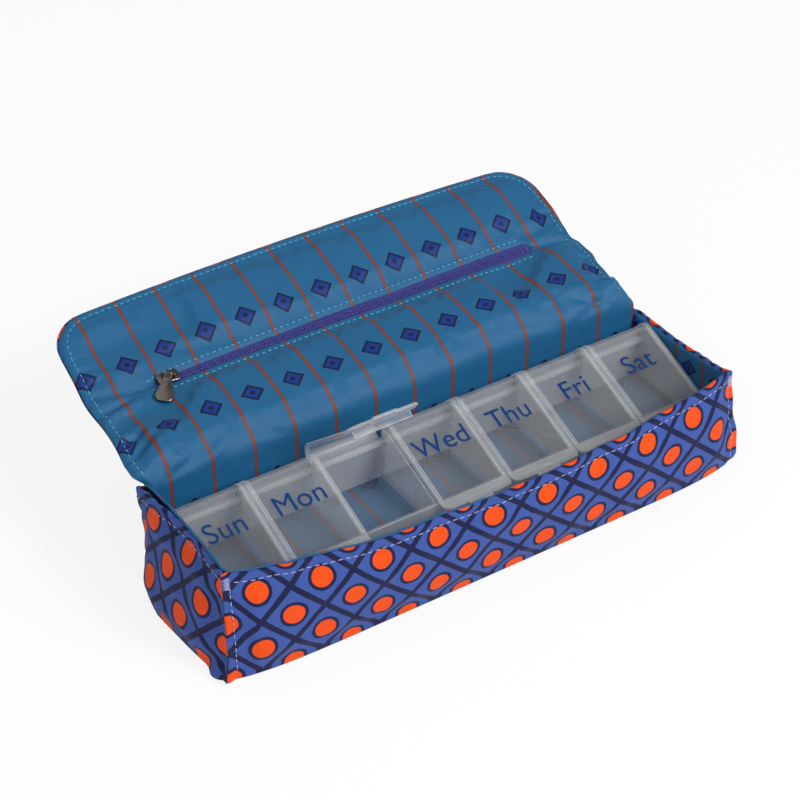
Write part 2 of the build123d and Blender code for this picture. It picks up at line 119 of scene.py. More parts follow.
class CaseSettings(bpy.types.PropertyGroup):
    """Sizes of the sewn case."""
    corner_radius: length("Corner radius", "Rounding of the upright corners", 4.4 * MM)
    base_radius: length("Base roll", "Rounding where the walls meet the base", 1.3 * MM)
    low_bow: length("Bow at the base", "How far the front bows out at its foot", 4.2 * MM)
    high_bow: length("Bow at the rim", "How far the front bows out at its rim", 8.2 * MM)
    end_bulge: length("End bulge", "How far the ends swell at mid height", 5.0 * MM)
    rim_width: length("Rim width", "Thickness of the rolled rim", 2.4 * MM)
    wall: length("Wall", "Thickness of the padded wall", 4.1 * MM)
    seam_ridge: length("Seam ridge", "How far the corner seams stand out", 2.0 * MM)
    cloth: length("Cloth", "Thickness of the cloth", 0.6 * MM)


class FlapSettings(bpy.types.PropertyGroup):
    """Sizes of the flap and its zip."""
    root_half: length("Half width at the fold", "Half of the flap's width at the fold", 119.0 * MM)
    free_half: length("Half width at the tip", "Half of the flap's width at its free edge", 115.5 * MM)
    run: length("Run", "Length of the flap from the fold", 86.44 * MM)
    zip_run: length("Zip", "From the fold to the middle of the zip", 43.0 * MM)
    zip_half: length("Half zip", "Half the length of the zip's opening", 91.0 * MM)
    zip_start: length("Zip start", "How far short the opening stops at the slider's end", 3.6 * MM)
    slit: length("Slit", "Half the width of the zip's opening", 2.9 * MM)
    corner: length("Corner", "Rounding of the free corners", 17.0 * MM)
    left_ease: length("Left ease", "How much wider the flap lies on its left side", 2.6 * MM)
    free_bow: length("Free bow", "How far the free edge bows out between its corners", 2.2 * MM)
    turned_edge: length("Turned edge", "How far the outer cloth shows past the lining", 0.5 * MM)
    low_puff: length("Lower swell", "Swell of the padded panel below the zip", 1.9 * MM)
    high_puff: length("Upper swell", "Swell of the padded panel above the zip", 1.2 * MM)
    rise: angle("Rise", "Slope of the lower panel", 8)
    crease: angle("Crease", "Turn of the flap at the zip", 13)


class ColourSettings(bpy.types.PropertyGroup):
    """Colours of the cloths, threads and plastics."""
    outer: colour("Outer cloth", "Ground of the outer print", screen_colour(61, 85, 158))
    outer_dark: colour("Print line", "Dark line of the outer print", screen_colour(24, 30, 66))
    outer_bright: colour("Print dot", "Bright dot of the outer print", screen_colour(232, 76, 8))
    lining: colour("Lining", "Ground of the lining", screen_colour(30, 95, 138))
    stripe: colour("Stripe", "Stripe of the lining", screen_colour(132, 62, 40))
    motif: colour("Lining diamond", "Diamond of the lining", screen_colour(8, 50, 126))
    motif_dark: colour("Lining outline", "Outline of the lining's diamond", screen_colour(8, 18, 48))
    zip_cloth: colour("Zip", "Tape and teeth of the zip", screen_colour(56, 56, 138))
    pale_thread: colour("Pale thread", "Thread of the rim", screen_colour(172, 176, 226))
    blue_thread: colour("Blue thread", "Thread of the flap", screen_colour(96, 182, 214))
    plastic: colour("Plastic", "Frosted plastic of the strip", screen_colour(245, 247, 250))
    label: colour("Label", "Ink of the day labels", screen_colour(4, 52, 106))
    metal: colour("Metal", "Dark metal of the slider", screen_colour(112, 104, 100))


class StageSettings(bpy.types.PropertyGroup):
    """The camera, the lamps and the floor."""
    azimuth: angle("Azimuth", "Camera's turn round the case", -33.16)
    elevation: angle("Elevation", "Camera's height above the floor", 36.78)
    distance: length("Distance", "Camera's distance", 931.06 * MM)
    lens: FloatProperty(name="Lens", description="Focal length in millimetres", default=100.265)
    floor: colour("Floor", "Colour of the floor", (0.93, 0.93, 0.93))


# Cloth shaping
def smooth(value):
    """Rises from 0 to 1 without corners."""
    value = min(max(value, 0.0), 1.0)
    return value * value * (3 - 2 * value)


def roll(value):
    """Rises from 0 to 1 as a quarter round does."""
    value = min(max(value, 0.0), 1.0)
    return sqrt(1 - (1 - value) ** 2)


def bell(value):
    """A soft bump, 1 at 0."""
    return exp(-value * value)


def along(table, share):
    """The value of a table of (share, value) pairs at a share, eased between them."""
    for (low, first), (high, second) in zip(table, table[1:]):
        if share <= high:
            return first + (second - first) * smooth((share - low) / (high - low))
    return table[-1][1]


def ripple(x, y, z, size):
    """Uneven cloth, from -1 to 1, with waves of about that size."""
    return noise.noise(Vector((x, y, z)) / size)


def bend(points, share):
    """A point of the four-point curve."""
    a, b, c, d = points
    rest = 1 - share
    return (a * rest ** 3 + b * (3 * rest * rest * share)
            + c * (3 * rest * share * share) + d * share ** 3)


def object_from(bm, name, *finishes):
    """A smooth mesh object with these materials."""
    mesh = bpy.data.meshes.new(name)
    bm.to_mesh(mesh)
    bm.free()
    for finish in finishes:
        mesh.materials.append(finish)
    mesh.shade_smooth()
    piece = bpy.data.objects.new(name, mesh)
    bpy.context.scene.collection.objects.link(piece)
    return piece


def cloth_grid(columns, rows, place, uv, ring=False, hold=None):
    """A grid of cloth, each point put in place by its two shares, with a map in metres of cloth.

    hold says, from 0 to 1, how firmly a point is sewn down when the cloth settles."""
    bm = bmesh.new()
    layer = bm.loops.layers.uv.new("UVMap")
    held = bm.verts.layers.deform.verify() if hold else None
    bmesh.ops.create_grid(bm, x_segments=columns, y_segments=rows, size=0.5)
    spots = {v: (v.co.x + 0.5, v.co.y + 0.5) for v in bm.verts}
    for vert, spot in spots.items():
        vert.co = place(*spot)
        if hold:
            vert[held][0] = hold(*spot)
    for face in bm.faces:
        for loop in face.loops:
            loop[layer].uv = uv(*spots[loop.vert], loop.vert.co)
    if ring:
        bmesh.ops.remove_doubles(bm, verts=bm.verts, dist=0.00001)
    return bm, layer


def close_foot(bm, layer):
    """Closes the lowest open edge of a ring with a flat panel."""
    rim = [e for e in bm.edges if e.is_boundary]
    middle = sum((v.co.z for e in rim for v in e.verts)) / (2 * len(rim))
    foot = [e for e in rim if e.verts[0].co.z < middle]
    for face in bmesh.ops.contextual_create(bm, geom=foot)["faces"]:
        for loop in face.loops:
            loop[layer].uv = loop.vert.co.xy


def calmed(mesh, moves, passes):
    """Evens out moves between neighbouring points."""
    for _ in range(passes):
        total, count = [move.copy() for move in moves], [1] * len(moves)
        for edge in mesh.edges:
            a, b = edge.vertices
            total[a] += moves[b]
            total[b] += moves[a]
            count[a] += 1
            count[b] += 1
        moves = [move / number for move, number in zip(total, count)]
    return moves


# How the panels settle: pressure, share of loose cloth and the farthest that a point may move
CASE_PUSH = (6.0, 0.03, 2.5 * MM)
LOW_PUSH = (4.0, 0.07, 2.2 * MM)
HIGH_PUSH = (2.5, 0.05, 1.8 * MM)
SETTLE_FRAMES = 11
CALM_PASSES = 4


def settle(piece, pressure, ease, cap):
    """Lets a sewn panel swell and crumple between the places that hold it, and keeps the result."""
    held = piece.vertex_groups.new(name="held")
    scene, mesh, large = bpy.context.scene, piece.data, 20.0
    for vert in mesh.vertices:
        vert.co *= large
    cloth = piece.modifiers.new("settle", "CLOTH")
    soft = cloth.settings
    soft.quality = 4
    soft.time_scale = 1.6
    soft.mass = 0.05
    soft.tension_stiffness = soft.compression_stiffness = 25.0
    soft.shear_stiffness = 8.0
    soft.bending_stiffness = 1.5
    soft.vertex_group_mass = held.name
    soft.shrink_min = -ease
    soft.use_pressure = True
    soft.uniform_pressure_force = pressure
    soft.effector_weights.gravity = 0.0
    cloth.collision_settings.use_collision = False
    for number in range(1, SETTLE_FRAMES + 1):
        scene.frame_set(number)
    shown = piece.evaluated_get(bpy.context.evaluated_depsgraph_get())
    moves = [(new.co - old.co) / large for new, old in zip(shown.data.vertices, mesh.vertices)]
    moves = calmed(mesh, moves, CALM_PASSES)
    piece.modifiers.remove(cloth)
    for vert, move in zip(mesh.vertices, moves):
        vert.co = vert.co / large + move * min(1.0, cap / max(move.length, 0.000001))
    scene.frame_set(1)
    piece.vertex_groups.remove(held)


def thicken(piece, thickness):
    wall = piece.modifiers.new("cloth", "SOLIDIFY")
    wall.thickness = thickness
    wall.offset = -1.0


# The case
# Rim heights in millimetres along each side, from -1 to 1
RIM_FRONT = ((-1.0, 49.9), (-0.9, 48.0), (-0.75, 46.5), (-0.4, 43.2), (0.0, 42.0),
             (0.4, 42.8), (0.75, 45.2), (1.0, 46.2))
RIM_RIGHT = ((-1.0, 46.2), (-0.6, 44.2), (0.0, 42.2), (0.6, 41.2), (1.0, 41.6))
RIM_BACK = ((-1.0, 41.6), (-0.93, 46.6), (0.0, 48.2), (1.0, 48.2))
RIM_LEFT = ((-1.0, 48.2), (-0.7, 51.0), (-0.2, 51.8), (0.5, 51.6), (1.0, 49.9))
# Share of the ends' bulge from the floor to the rim
END_SWELL = ((0.0, 1.25), (0.2, 1.4), (0.45, 0.9), (0.75, 0.15), (1.0, -0.05))
# How far each wall's print is out of step with the next, in millimetres
SEAM_SHIFT = ((0.0, 0.0), (9.3, 6.2), (4.0, 3.1), (14.1, 10.4))
SIDE_COLUMNS = (210, 80, 210, 80)
COLUMNS = sum(SIDE_COLUMNS)
MEAN_RIM = 48.6 * MM
WALL_PRINT = 46 * MM
LINING_PRINT = 45 * MM
HEM_DROP = 2.6 * MM


def side_at(share):
    """Which of the four sides a share of the way round lies on, and where along it from -1 to 1."""
    column = share * COLUMNS
    for side, count in enumerate(SIDE_COLUMNS):
        if column <= count + 0.0001 or side == 3:
            step = 2 * column / count - 1
            return side, 0.45 * step + 0.55 * sin(step * pi / 2)
        column -= count


def rim_height(side, t):
    """Height of the rim on a side, a little uneven."""
    uneven = (ripple(t * 120 * MM, side * 30 * MM, 0.4, 9 * MM) * 0.55
              + ripple(t * 120 * MM, 0.2, side, 4 * MM) * 0.2)
    return (along((RIM_FRONT, RIM_RIGHT, RIM_BACK, RIM_LEFT)[side], t) + uneven * (1 - t ** 10)) * MM


def case_point(sizes, side, t, z, inset, ridged=True):
    """A point of the case's wall at a height, set in from the outer cloth."""
    ways = (Vector((0, -1, 0)), Vector((1, 0, 0)), Vector((0, 1, 0)), Vector((-1, 0, 0)))
    out, on = ways[side], ways[(side + 1) % 4]
    half = HALF_LENGTH if side in (0, 2) else HALF_DEPTH
    deep = HALF_DEPTH if side in (0, 2) else HALF_LENGTH
    back = side == 2 or (side == 1 and t > 0) or (side == 3 and t < 0)
    radius = sizes.corner_radius * (1.1 if back and ridged else 1.0)
    corner = half * (1 - abs(t))
    h = z / MEAN_RIM
    if corner < radius:
        turn = (1 - corner / radius) * pi / 4
        near = on if t > 0 else -on
        way = out * cos(turn) + near * sin(turn)
        point = out * (deep - radius) + near * (half - radius) + way * radius
    else:
        way = out
        point = out * deep + on * (t * half)
    if side == 0:
        rise = smooth(h)
        push = (sizes.low_bow + (sizes.high_bow - sizes.low_bow) * rise) * (
            (1 - t ** 8) * (1 - rise) + (1 - t * t) * rise) + 0.9 * MM * (1 - rise)
    elif side == 2:
        push = 0.0
    else:
        fold = (0.35 if side == 3 else 0.1) * (-1 if side == 3 else 1)
        tent = 1 - abs(t - fold) / (1 + (-fold if t > fold else fold))
        swell = along(END_SWELL, min(max(h, 0), 1))
        push = sizes.end_bulge * swell * (0.55 * (1 - t ** 4) + 0.45 * tent)
    x, y = point.x, point.y
    body = smooth(h * 8) * smooth((1.02 - h) * 5)
    soft = ripple(x, y, z, 26 * MM) * 0.9 * MM + ripple(y, z, x, 11 * MM) * 0.35 * MM
    pucker = bell(corner / (9 * MM)) * sin(z / (2.3 * MM) + corner / (4 * MM)) * 0.35 * MM
    push += (soft + pucker) * body
    if ridged:
        left = side == 3 or (side == 0 and t < 0)
        reach = sizes.seam_ridge * smooth(h * 14) + (3.2 if left else 0.0) * MM * bell(z / (5 * MM) - 0.4)
        push += reach * bell(corner / (1.3 * MM)) * (0.15 if back else 1.0)
        if not left and not back:
            low = (2.0 * bell((z - 9 * MM) / (9 * MM)) - 1.0 * bell(z / (3 * MM))
                   - 0.9 * bell((z - 32 * MM) / (9 * MM)))
            push += low * MM * bell(corner / (13 * MM))
        if side == 3:
            lift = 2.4 * smooth((z - 36 * MM) / (12 * MM)) - 1.6 * bell((z - 22 * MM) / (12 * MM))
            push += lift * MM * smooth(-2 * t)
            if not back:
                push += 3.4 * MM * bell((corner - 4.5 * MM) / (4.5 * MM)) * bell(z / (6 * MM))
    point = point + way * (push - inset)
    lean = smooth(h) * h
    reach_x = min(abs(point.x) / HALF_LENGTH, 1.05) ** 8
    if point.y < 0:
        point.y += 2.7 * MM * lean * reach_x * min(-point.y / HALF_DEPTH, 1)
    return Vector((point.x, point.y, z))


def rim_thinning(sizes):
    """How much the wall thins towards its rim."""
    return (sizes.wall - sizes.rim_width) * 0.45


def hem_inset(sizes, drop):
    """How far the outer cloth lies in at a drop below the rim, with the groove of its hem."""
    groove = 0.35 * MM * bell((drop - HEM_DROP) / (0.9 * MM))
    return groove + rim_thinning(sizes) * smooth(1 - drop / (9 * MM))


def row_at(rows, v):
    """The row of a grid at a share of its height."""
    return rows[round(v * (len(rows) - 1))]


def case_cloth(sizes, cloth, lining):
    """The outer shell of the case and its lining."""
    rows = []
    for k in range(6):
        turn = k / 5 * pi / 2
        rows.append(("foot", sizes.base_radius * (1 - sin(turn)), sizes.base_radius * (1 - cos(turn))))
    wall_rows, roll_rows, deep_wall_rows, floor_rows = 26, 7, 18, 4
    rows += [("wall", (k + 1) / wall_rows, 0.0) for k in range(wall_rows)]
    rows += [("roll", (k + 1) / roll_rows * pi, 0.0) for k in range(roll_rows)]
    rows += [("hem", 1.2 * MM, 0.0), ("hem", 2.6 * MM, 0.0)]
    half_rim, thin = sizes.rim_width / 2, rim_thinning(sizes)

    def place(u, v):
        kind, first, second = row_at(rows, v)
        side, t = side_at(u)
        rim = rim_height(side, t)
        if kind == "foot":
            return case_point(sizes, side, t, second, first)
        top = rim - half_rim
        if kind == "wall":
            z = sizes.base_radius + (top - sizes.base_radius) * first
            return case_point(sizes, side, t, z, hem_inset(sizes, top - z))
        if kind == "roll":
            point = case_point(sizes, side, t, top, thin + half_rim * (1 - cos(first)))
            return point + Vector((0, 0, half_rim * sin(first)))
        point = case_point(sizes, side, t, top, thin + sizes.rim_width)
        return point - Vector((0, 0, first))

    lengths = (2 * HALF_LENGTH, 2 * HALF_DEPTH, 2 * HALF_LENGTH, 2 * HALF_DEPTH)

    def uv(u, v, point):
        side, t = side_at(u)
        kind, first, second = row_at(rows, v)
        rise = {"foot": second, "wall": first * WALL_PRINT,
                "roll": WALL_PRINT + first * half_rim, "hem": 50 * MM + first}[kind]
        return (sum(lengths[:side]) + (t + 1) / 2 * lengths[side] + SEAM_SHIFT[side][0] * MM,
                rise + SEAM_SHIFT[side][1] * MM)

    def hold(u, v):
        side, t = side_at(u)
        kind, first, second = row_at(rows, v)
        if kind != "wall" or side == 2:
            return 1.0
        rim = rim_height(side, t)
        free = min((1 - first) * rim - 3.5 * MM, first * rim - 1.5 * MM)
        corner = (HALF_LENGTH if side == 0 else HALF_DEPTH) * (1 - abs(t)) - 3.5 * MM
        return 1.0 - smooth(free / (5 * MM)) * smooth(corner / (6 * MM))

    bm, layer = cloth_grid(COLUMNS, len(rows) - 1, place, uv, ring=True, hold=hold)
    close_foot(bm, layer)
    outer = object_from(bm, "case_outer", cloth)
    settle(outer, *CASE_PUSH)
    thicken(outer, sizes.cloth)

    deep_rows = [("lip", 0.55 * MM, 1.0 * MM), ("lip", 0.62 * MM, 1.5 * MM), ("lip", 0.4 * MM, 2.0 * MM),
                 ("lip", -0.3 * MM, 2.5 * MM)]
    deep_rows += [("wall", (k + 1) / deep_wall_rows, 0.0) for k in range(deep_wall_rows)]
    deep_rows += [("floor", (k + 1) / floor_rows * pi / 2, 0.0) for k in range(floor_rows)]
    cove, deep_inset = 2.5 * MM, sizes.wall + 0.25 * MM

    def hidden(side, t):
        """How far the lining's edge lies below the rim."""
        return (1.6 * smooth((t + 0.3) / 0.5) if side == 0 else 2.4 if side == 1 else 0.0) * MM

    def line_place(u, v):
        kind, first, second = row_at(deep_rows, v)
        side, t = side_at(u)
        rim = rim_height(side, t)
        if kind == "lip":
            point = case_point(sizes, side, t, rim - half_rim, thin + second, ridged=False)
            drop = hidden(side, t) * smooth((3 * MM - second) / (2 * MM))
            return Vector((point.x, point.y, rim + first - drop))
        low = LINING_FLOOR + cove
        if kind == "wall":
            z = rim - 0.5 * MM + (low - rim + 0.5 * MM) * first
            inset = deep_inset + (thin + 2.6 * MM - deep_inset) * smooth(1 - first * 4)
            return flat_wall(sizes, side, t, z, inset)
        return flat_wall(sizes, side, t, low - cove * sin(first), deep_inset + cove * (1 - cos(first)))

    def line_uv(u, v, point):
        side, t = side_at(u)
        return sum(lengths[:side]) + (t + 1) / 2 * lengths[side], -v * LINING_PRINT

    bm, layer = cloth_grid(COLUMNS, len(deep_rows) - 1, line_place, line_uv, ring=True)
    made = bmesh.ops.create_grid(bm, x_segments=60, y_segments=20, size=1.0)["verts"]
    for vert in made:
        t, depth = vert.co.x, vert.co.y
        y = depth * (HALF_DEPTH - sizes.wall)
        if depth < 0:
            y += depth * (sizes.low_bow * (1 - t ** 8))
        vert.co = Vector((t * (HALF_LENGTH - sizes.wall + 0.3 * MM), y, LINING_FLOOR))
    for face in {f for v in made for f in v.link_faces}:
        for loop in face.loops:
            loop[layer].uv = loop.vert.co.xy
    inner = object_from(bm, "case_lining", lining)
    thicken(inner, 0.4 * MM)
    return outer, inner


def flat_wall(sizes, side, t, z, inset):
    """A point of the inner wall: the ends stay straight beside the strip, and the front follows its bow."""
    point = case_point(sizes, side, t, z, inset, ridged=False)
    limit = HALF_LENGTH - sizes.wall + 0.1 * MM
    if side in (1, 3):
        wave = ripple(point.y, z, point.x, 16 * MM) * 0.3 * MM
        point.x = (limit + 0.3 * MM + wave) * (1 if side == 1 else -1)
        point.y = max(min(point.y, HALF_DEPTH - sizes.wall), -HALF_DEPTH + sizes.wall - 6 * MM)
    elif side == 2:
        point.y = HALF_DEPTH - sizes.wall + 0.2 * MM
    point.x = max(min(point.x, limit + 0.6 * MM), -limit - 0.6 * MM)
    return point


# The flap
def flap_middle(flap, run):
    """The middle line of the flap at a run from the fold: y, z and slope."""
    half = 5.0 * MM
    start = flap.zip_run - half
    low, turn = flap.rise, flap.crease
    if run <= start:
        return FOLD.y + run * cos(low), FOLD.z + run * sin(low), low
    y, z = FOLD.y + start * cos(low), FOLD.z + start * sin(low)
    if run >= start + 2 * half:
        y += 2 * half * cos(low + turn / 2)
        z += 2 * half * sin(low + turn / 2)
        rest = run - start - 2 * half
        return y + rest * cos(low + turn), z + rest * sin(low + turn), low + turn
    part = (run - start) / (2 * half)
    mean = low + turn * part / 2
    return y + (run - start) * cos(mean), z + (run - start) * sin(mean), low + turn * part


def flap_frame(flap, run):
    """A point of the middle line, its upright and its slope."""
    y, z, slope = flap_middle(flap, run)
    return Vector((0, y, z)), Vector((0, -sin(slope), cos(slope))), slope


def bunched(share):
    """A share of the upper panel, with its rows closer together at the free edge."""
    return share * 0.55 + 0.45 * sin(share * pi / 2)


def flap_half(flap, run, right):
    """Half the flap's width at a run, with the loose wave of its sides."""
    half = flap.root_half + (flap.free_half - flap.root_half) * max(run, 0) / flap.run
    wave = smooth(run / (10 * MM)) * smooth((60 * MM - run) / (20 * MM))
    if right:
        half += (0.9 * sin(run / (5.2 * MM) + 0.6) - 2.0) * MM * wave - 2.2 * MM * bell(run / (16 * MM))
        half += (1.2 * bell((run - 27 * MM) / (4 * MM)) - 1.3 * bell((run - 41 * MM) / (4 * MM))
                 - 1.6 * bell((run - 9 * MM) / (6 * MM))) * MM
    else:
        half += (flap.left_ease + 0.8 * MM * wave * sin(run / (9 * MM) + 2.0)
                 + 1.4 * MM * bell(run / (22 * MM)))
    over = run - (flap.run - flap.corner)
    if over > 0:
        half -= flap.corner - sqrt(max(flap.corner ** 2 - over ** 2, 0))
    return half


def free_run(flap, across):
    """Run of the free edge, bowed out between the corners."""
    return flap.run + flap.free_bow * (1 - across * across)


WALL_ROWS, BEND_ROWS, PANEL_ROWS, TIP_ROWS, FLAP_COLUMNS = 8, 16, 40, 44, 220
LOW_ROWS = WALL_ROWS + BEND_ROWS + PANEL_ROWS
BEND_END = 9 * MM
# Cloth that the print takes up on the wall and round the bend
WALL_CLOTH, BEND_CLOTH = 30 * MM, 15 * MM
EDGE_ROLL = 2.4 * MM
SINK = 0.4
NO_GAP = 0.0001
# Height at which the bend leaves the back wall, and the middle of that wall
BEND_FOOT = 45 * MM
WALL_MIDDLE = 32.2 * MM
# Creases of the flap in millimetres: from (x, run) to (x, run), depth and width
CREASES = (
    (-90, 43.5, -103, 43.2, -1.5, 1.7), (-102, 43.6, -117, 47, -1.7, 1.6), (-99, 39.6, -122, 36.6, -1.8, 1.5),
    (-97, 36.5, -121, 32.5, 1.3, 2.2), (-122, 18.2, -108, 19.8, -1.5, 1.3), (-111, 23, -110, 8, -1.3, 1.8),
    (-100, 18, -122, 7.5, -1.5, 1.6), (-101, 12, -118, 2, 1.2, 2.2), (-109, -3.5, -94, 2, -1.4, 1.6),
    (-92, -4, -80, 4.5, 0.9, 2.2), (-84, 55.5, -50, 50.5, -0.8, 2.8), (-119, 60.4, -106, 59.2, -0.9, 1.1),
    (-120, 53.6, -107, 52.6, -0.9, 1.2), (-118, 66.5, -109, 65.2, -0.6, 1.0), (-60, 51, -20, 49.5, -0.5, 2.6),
    (93, 42.2, 112, 38.8, -1.8, 1.5), (86, 46.5, 94, 49.8, -1.0, 1.2), (98, 36.2, 114, 35.6, 1.3, 1.8),
    (101, 46, 112, 47.5, 0.9, 1.6), (82, 9, 103, -1, -1.3, 1.5), (90, -2.5, 110, 3.5, -1.1, 1.5),
    (99, 14, 113, 9, 0.9, 1.8), (104, 27, 114, 23.5, -1.0, 1.2), (105, 58, 115, 56, -0.8, 1.2),
    (-112, 66, -84, 67, -1.2, 4.5), (60, 4, 78, -3, -0.6, 2.0), (-70, 3, -55, -4, -0.6, 2.0),
    (20, 50.5, 70, 49.5, -0.5, 2.4),
)


def nearest(x, run, line):
    """How far a point of the flap is from a line, on which side, and at which share of it.

    The point is in metres and the line in millimetres."""
    start, end = Vector(line[0:2]) * MM, Vector(line[2:4]) * MM
    way = end - start
    spot = Vector((x, run)) - start
    share = min(max(spot.dot(way) / way.length_squared, 0.0), 1.0)
    return (spot - way * share).length, 1 if way.cross(spot) > 0 else -1, share


def creased(x, run):
    """Rise of the cloth where it is creased: a sharp dip or ridge with a soft swell beside it."""
    rise = 0.0
    for line in CREASES:
        if abs(x / MM - (line[0] + line[2]) / 2) > 32:
            continue
        depth, width = line[4] * MM, line[5] * MM
        off, side, share = nearest(x, run, line)
        if off < 6 * width:
            fade = 1 - 0.5 * abs(2 * share - 1)
            rise += depth * fade * (bell(off / (1.15 * width))
                                    - 0.5 * bell((off * side - 2.4 * width) / (1.6 * width)))
    return rise


# Lines where the flap's lining is pressed flat, as x, run, x, run and reach in millimetres:
# under the pull at either end of the zip, and where the front rim meets the shut flap
PRESSED = ((-84, 43, -97, 30, 9), (86, 43, 73, 30, 9), (-121, 63.5, -70, 67, 9))


def pressed(x, run):
    """1 where something rests on the flap's lining, and 0 away from there."""
    return bell(min(nearest(x, run, line[:4])[0] / (line[4] * MM) for line in PRESSED))


def flap_height(flap, x, run, edge):
    """How far the lining stands over the middle line, given the distance from the flap's edge."""
    middle = flap.zip_run
    low = run < middle
    puff = flap.low_puff if low else flap.high_puff
    span = middle if low else flap.run - middle
    part = (run if low else run - middle) / span
    swell = puff * sin(pi * min(max(part, 0), 1)) ** 0.7 * smooth((edge - 3 * MM) / (16 * MM))
    wave = ripple(x, run, 0.3, 34 * MM) * 0.8 * MM + ripple(run, x, 0.7, 15 * MM) * 0.3 * MM
    wave *= smooth(edge / (12 * MM))
    groove = -0.4 * MM * bell((edge - 3.0 * MM) / (0.8 * MM))
    flat = pressed(x, run)
    loose = (swell + wave) * (1 - flat) + creased(x, run) * (1 - 0.6 * flat)
    loose = loose if edge > 3 * MM else loose * 0.6
    return max(1.3 * MM + groove + loose, 0.25 * MM) * roll(edge / EDGE_ROLL)


def slit_edge(gap, fall):
    """How the lining turns in at the zip's slit: its share of the full height, and the groove beside it."""
    if gap <= NO_GAP:
        return 1.0, 0.0
    return 0.35 + 0.65 * roll(fall / (1.0 * MM)), 0.4 * MM * bell((fall - 2.2 * MM) / (0.7 * MM))


def slit_half(flap, x):
    """Half the gap of the zip's slit at x, closed beyond its ends."""
    short = flap.zip_start if x < 0 else 0.0
    wide = flap.slit * (0.95 + 0.25 * x / flap.zip_half)
    return wide * roll((flap.zip_half + 3 * MM - short - abs(x)) / (4 * MM))


def low_panel(flap, u, v, inside):
    """A point of the cloth from the back wall over the fold to the zip, on the lining or the outer side."""
    row = v * LOW_ROWS
    right = u > 0.5
    across = 2 * u - 1
    if row >= WALL_ROWS + BEND_ROWS:
        part = (row - WALL_ROWS - BEND_ROWS) / PANEL_ROWS
        past = 0.0 if inside else flap.turned_edge
        half = flap_half(flap, BEND_END + part * (flap.zip_run - BEND_END), right)
        x = across * half
        gap = slit_half(flap, x) if inside else 0.0
        run = BEND_END + part * (flap.zip_run - gap - BEND_END)
        half = flap_half(flap, run, right) + past * part
        x = across * half
        edge = half - abs(x)
        base, up, slope = flap_frame(flap, run)
        base.x = x
        base -= up * SINK * MM
        if inside:
            lip, groove = slit_edge(gap, flap.zip_run - gap - run)
            return base + up * ((flap_height(flap, x, run, edge) + SINK * MM - groove) * lip)
        return base - up * back_height(flap, x, run, edge)
    end, up, slope = flap_frame(flap, BEND_END)
    wall_half = HALF_LENGTH - 4.3 * MM
    part = max((row - WALL_ROWS) / BEND_ROWS, 0.0)
    half = wall_half + (flap_half(flap, BEND_END, right) - wall_half) * smooth(part * 1.4)
    x = across * half
    edge = half - abs(x)
    top, way = BEND_FOOT, Vector((0, cos(slope), sin(slope)))
    inner, outer = HALF_DEPTH - 4.6 * MM, HALF_DEPTH + 0.9 * MM
    mid = bend((Vector((0, WALL_MIDDLE, top)), Vector((0, WALL_MIDDLE, 50 * MM)),
                Vector((0, 35 * MM, 52.2 * MM)), end - up * SINK * MM), part)
    if inside:
        stand = end + up * flap_height(flap, x, BEND_END, 20 * MM)
        face = bend((Vector((0, inner, top)), Vector((0, inner, top + 7 * MM)),
                     stand - way * 7 * MM, stand), part)
        loose = ripple(x, part * 20 * MM, 0.9, 22 * MM) * 0.9 * MM * sin(pi * part)
        loose += creased(x, BEND_END - BEND_CLOTH * (1 - part)) * smooth(part * 3) * smooth((1 - part) * 3)
        face += Vector((0, -0.6, 0.8)) * loose
    else:
        stand = end - up * (SINK * MM + back_height(flap, x, BEND_END, 20 * MM))
        face = bend((Vector((0, outer, top)), Vector((0, outer, top + 3.4 * MM)),
                     stand - way * 3.5 * MM, stand), part)
    if row < WALL_ROWS:
        low = LINING_FLOOR + 1.5 * MM if inside else 36 * MM
        face = Vector((0, inner if inside else outer, low + (top - low) * row / WALL_ROWS))
        mid = Vector((0, WALL_MIDDLE, face.z))
    close = roll(edge / EDGE_ROLL)
    point = face + (mid - face) * (1 - close) * smooth(part * 3)
    point.x = x
    return point


def back_height(flap, x, run, edge):
    """How far the outer cloth stands under the middle line."""
    soft = ripple(x, run, 5.3, 30 * MM) * 0.5 * MM * smooth(edge / (12 * MM))
    groove = 0.35 * MM * bell((edge - 3.0 * MM) / (0.8 * MM))
    return (1.9 * MM + soft - groove) * roll(edge / EDGE_ROLL)


def high_panel(flap, u, v, inside):
    """A point of the cloth from the zip to the flap's free edge."""
    right = u > 0.5
    across = 2 * u - 1
    first = flap.zip_run
    x = across * flap_half(flap, first, right)
    gap = slit_half(flap, x) if inside else 0.0
    part = bunched(v)
    past = 0.0 if inside else flap.turned_edge
    free = free_run(flap, across) + past
    run = first + gap + part * (free - first - gap)
    half = flap_half(flap, run - past, right) + past
    x = across * half
    edge = edge_distance(flap, x, run, half, free)
    base, up, slope = flap_frame(flap, run)
    base.x = x
    base -= up * SINK * MM
    if inside:
        lip, groove = slit_edge(gap, run - first - gap)
        height = flap_height(flap, x, run, edge) + SINK * MM * roll(edge / EDGE_ROLL) - groove
        return base + up * height * lip
    return base - up * back_height(flap, x, run, edge)


def edge_distance(flap, x, run, half, free):
    """How far a point of the upper panel is from the flap's outline."""
    free = free - run
    side = half - abs(x)
    ease = flap.left_ease if x < 0 else 0.0
    cx, cr = flap.free_half + ease - flap.corner, flap.run - flap.corner
    if abs(x) > cx and run > cr:
        return max(flap.corner - sqrt((abs(x) - cx) ** 2 + (run - cr) ** 2), 0.0)
    return max(min(free, side), 0.0)


def unsewn(edge, free):
    """0 along the seams of a panel and 1 away from them."""
    return smooth((edge - 4.5 * MM) / (5 * MM)) * smooth((free - 3.5 * MM) / (5 * MM))


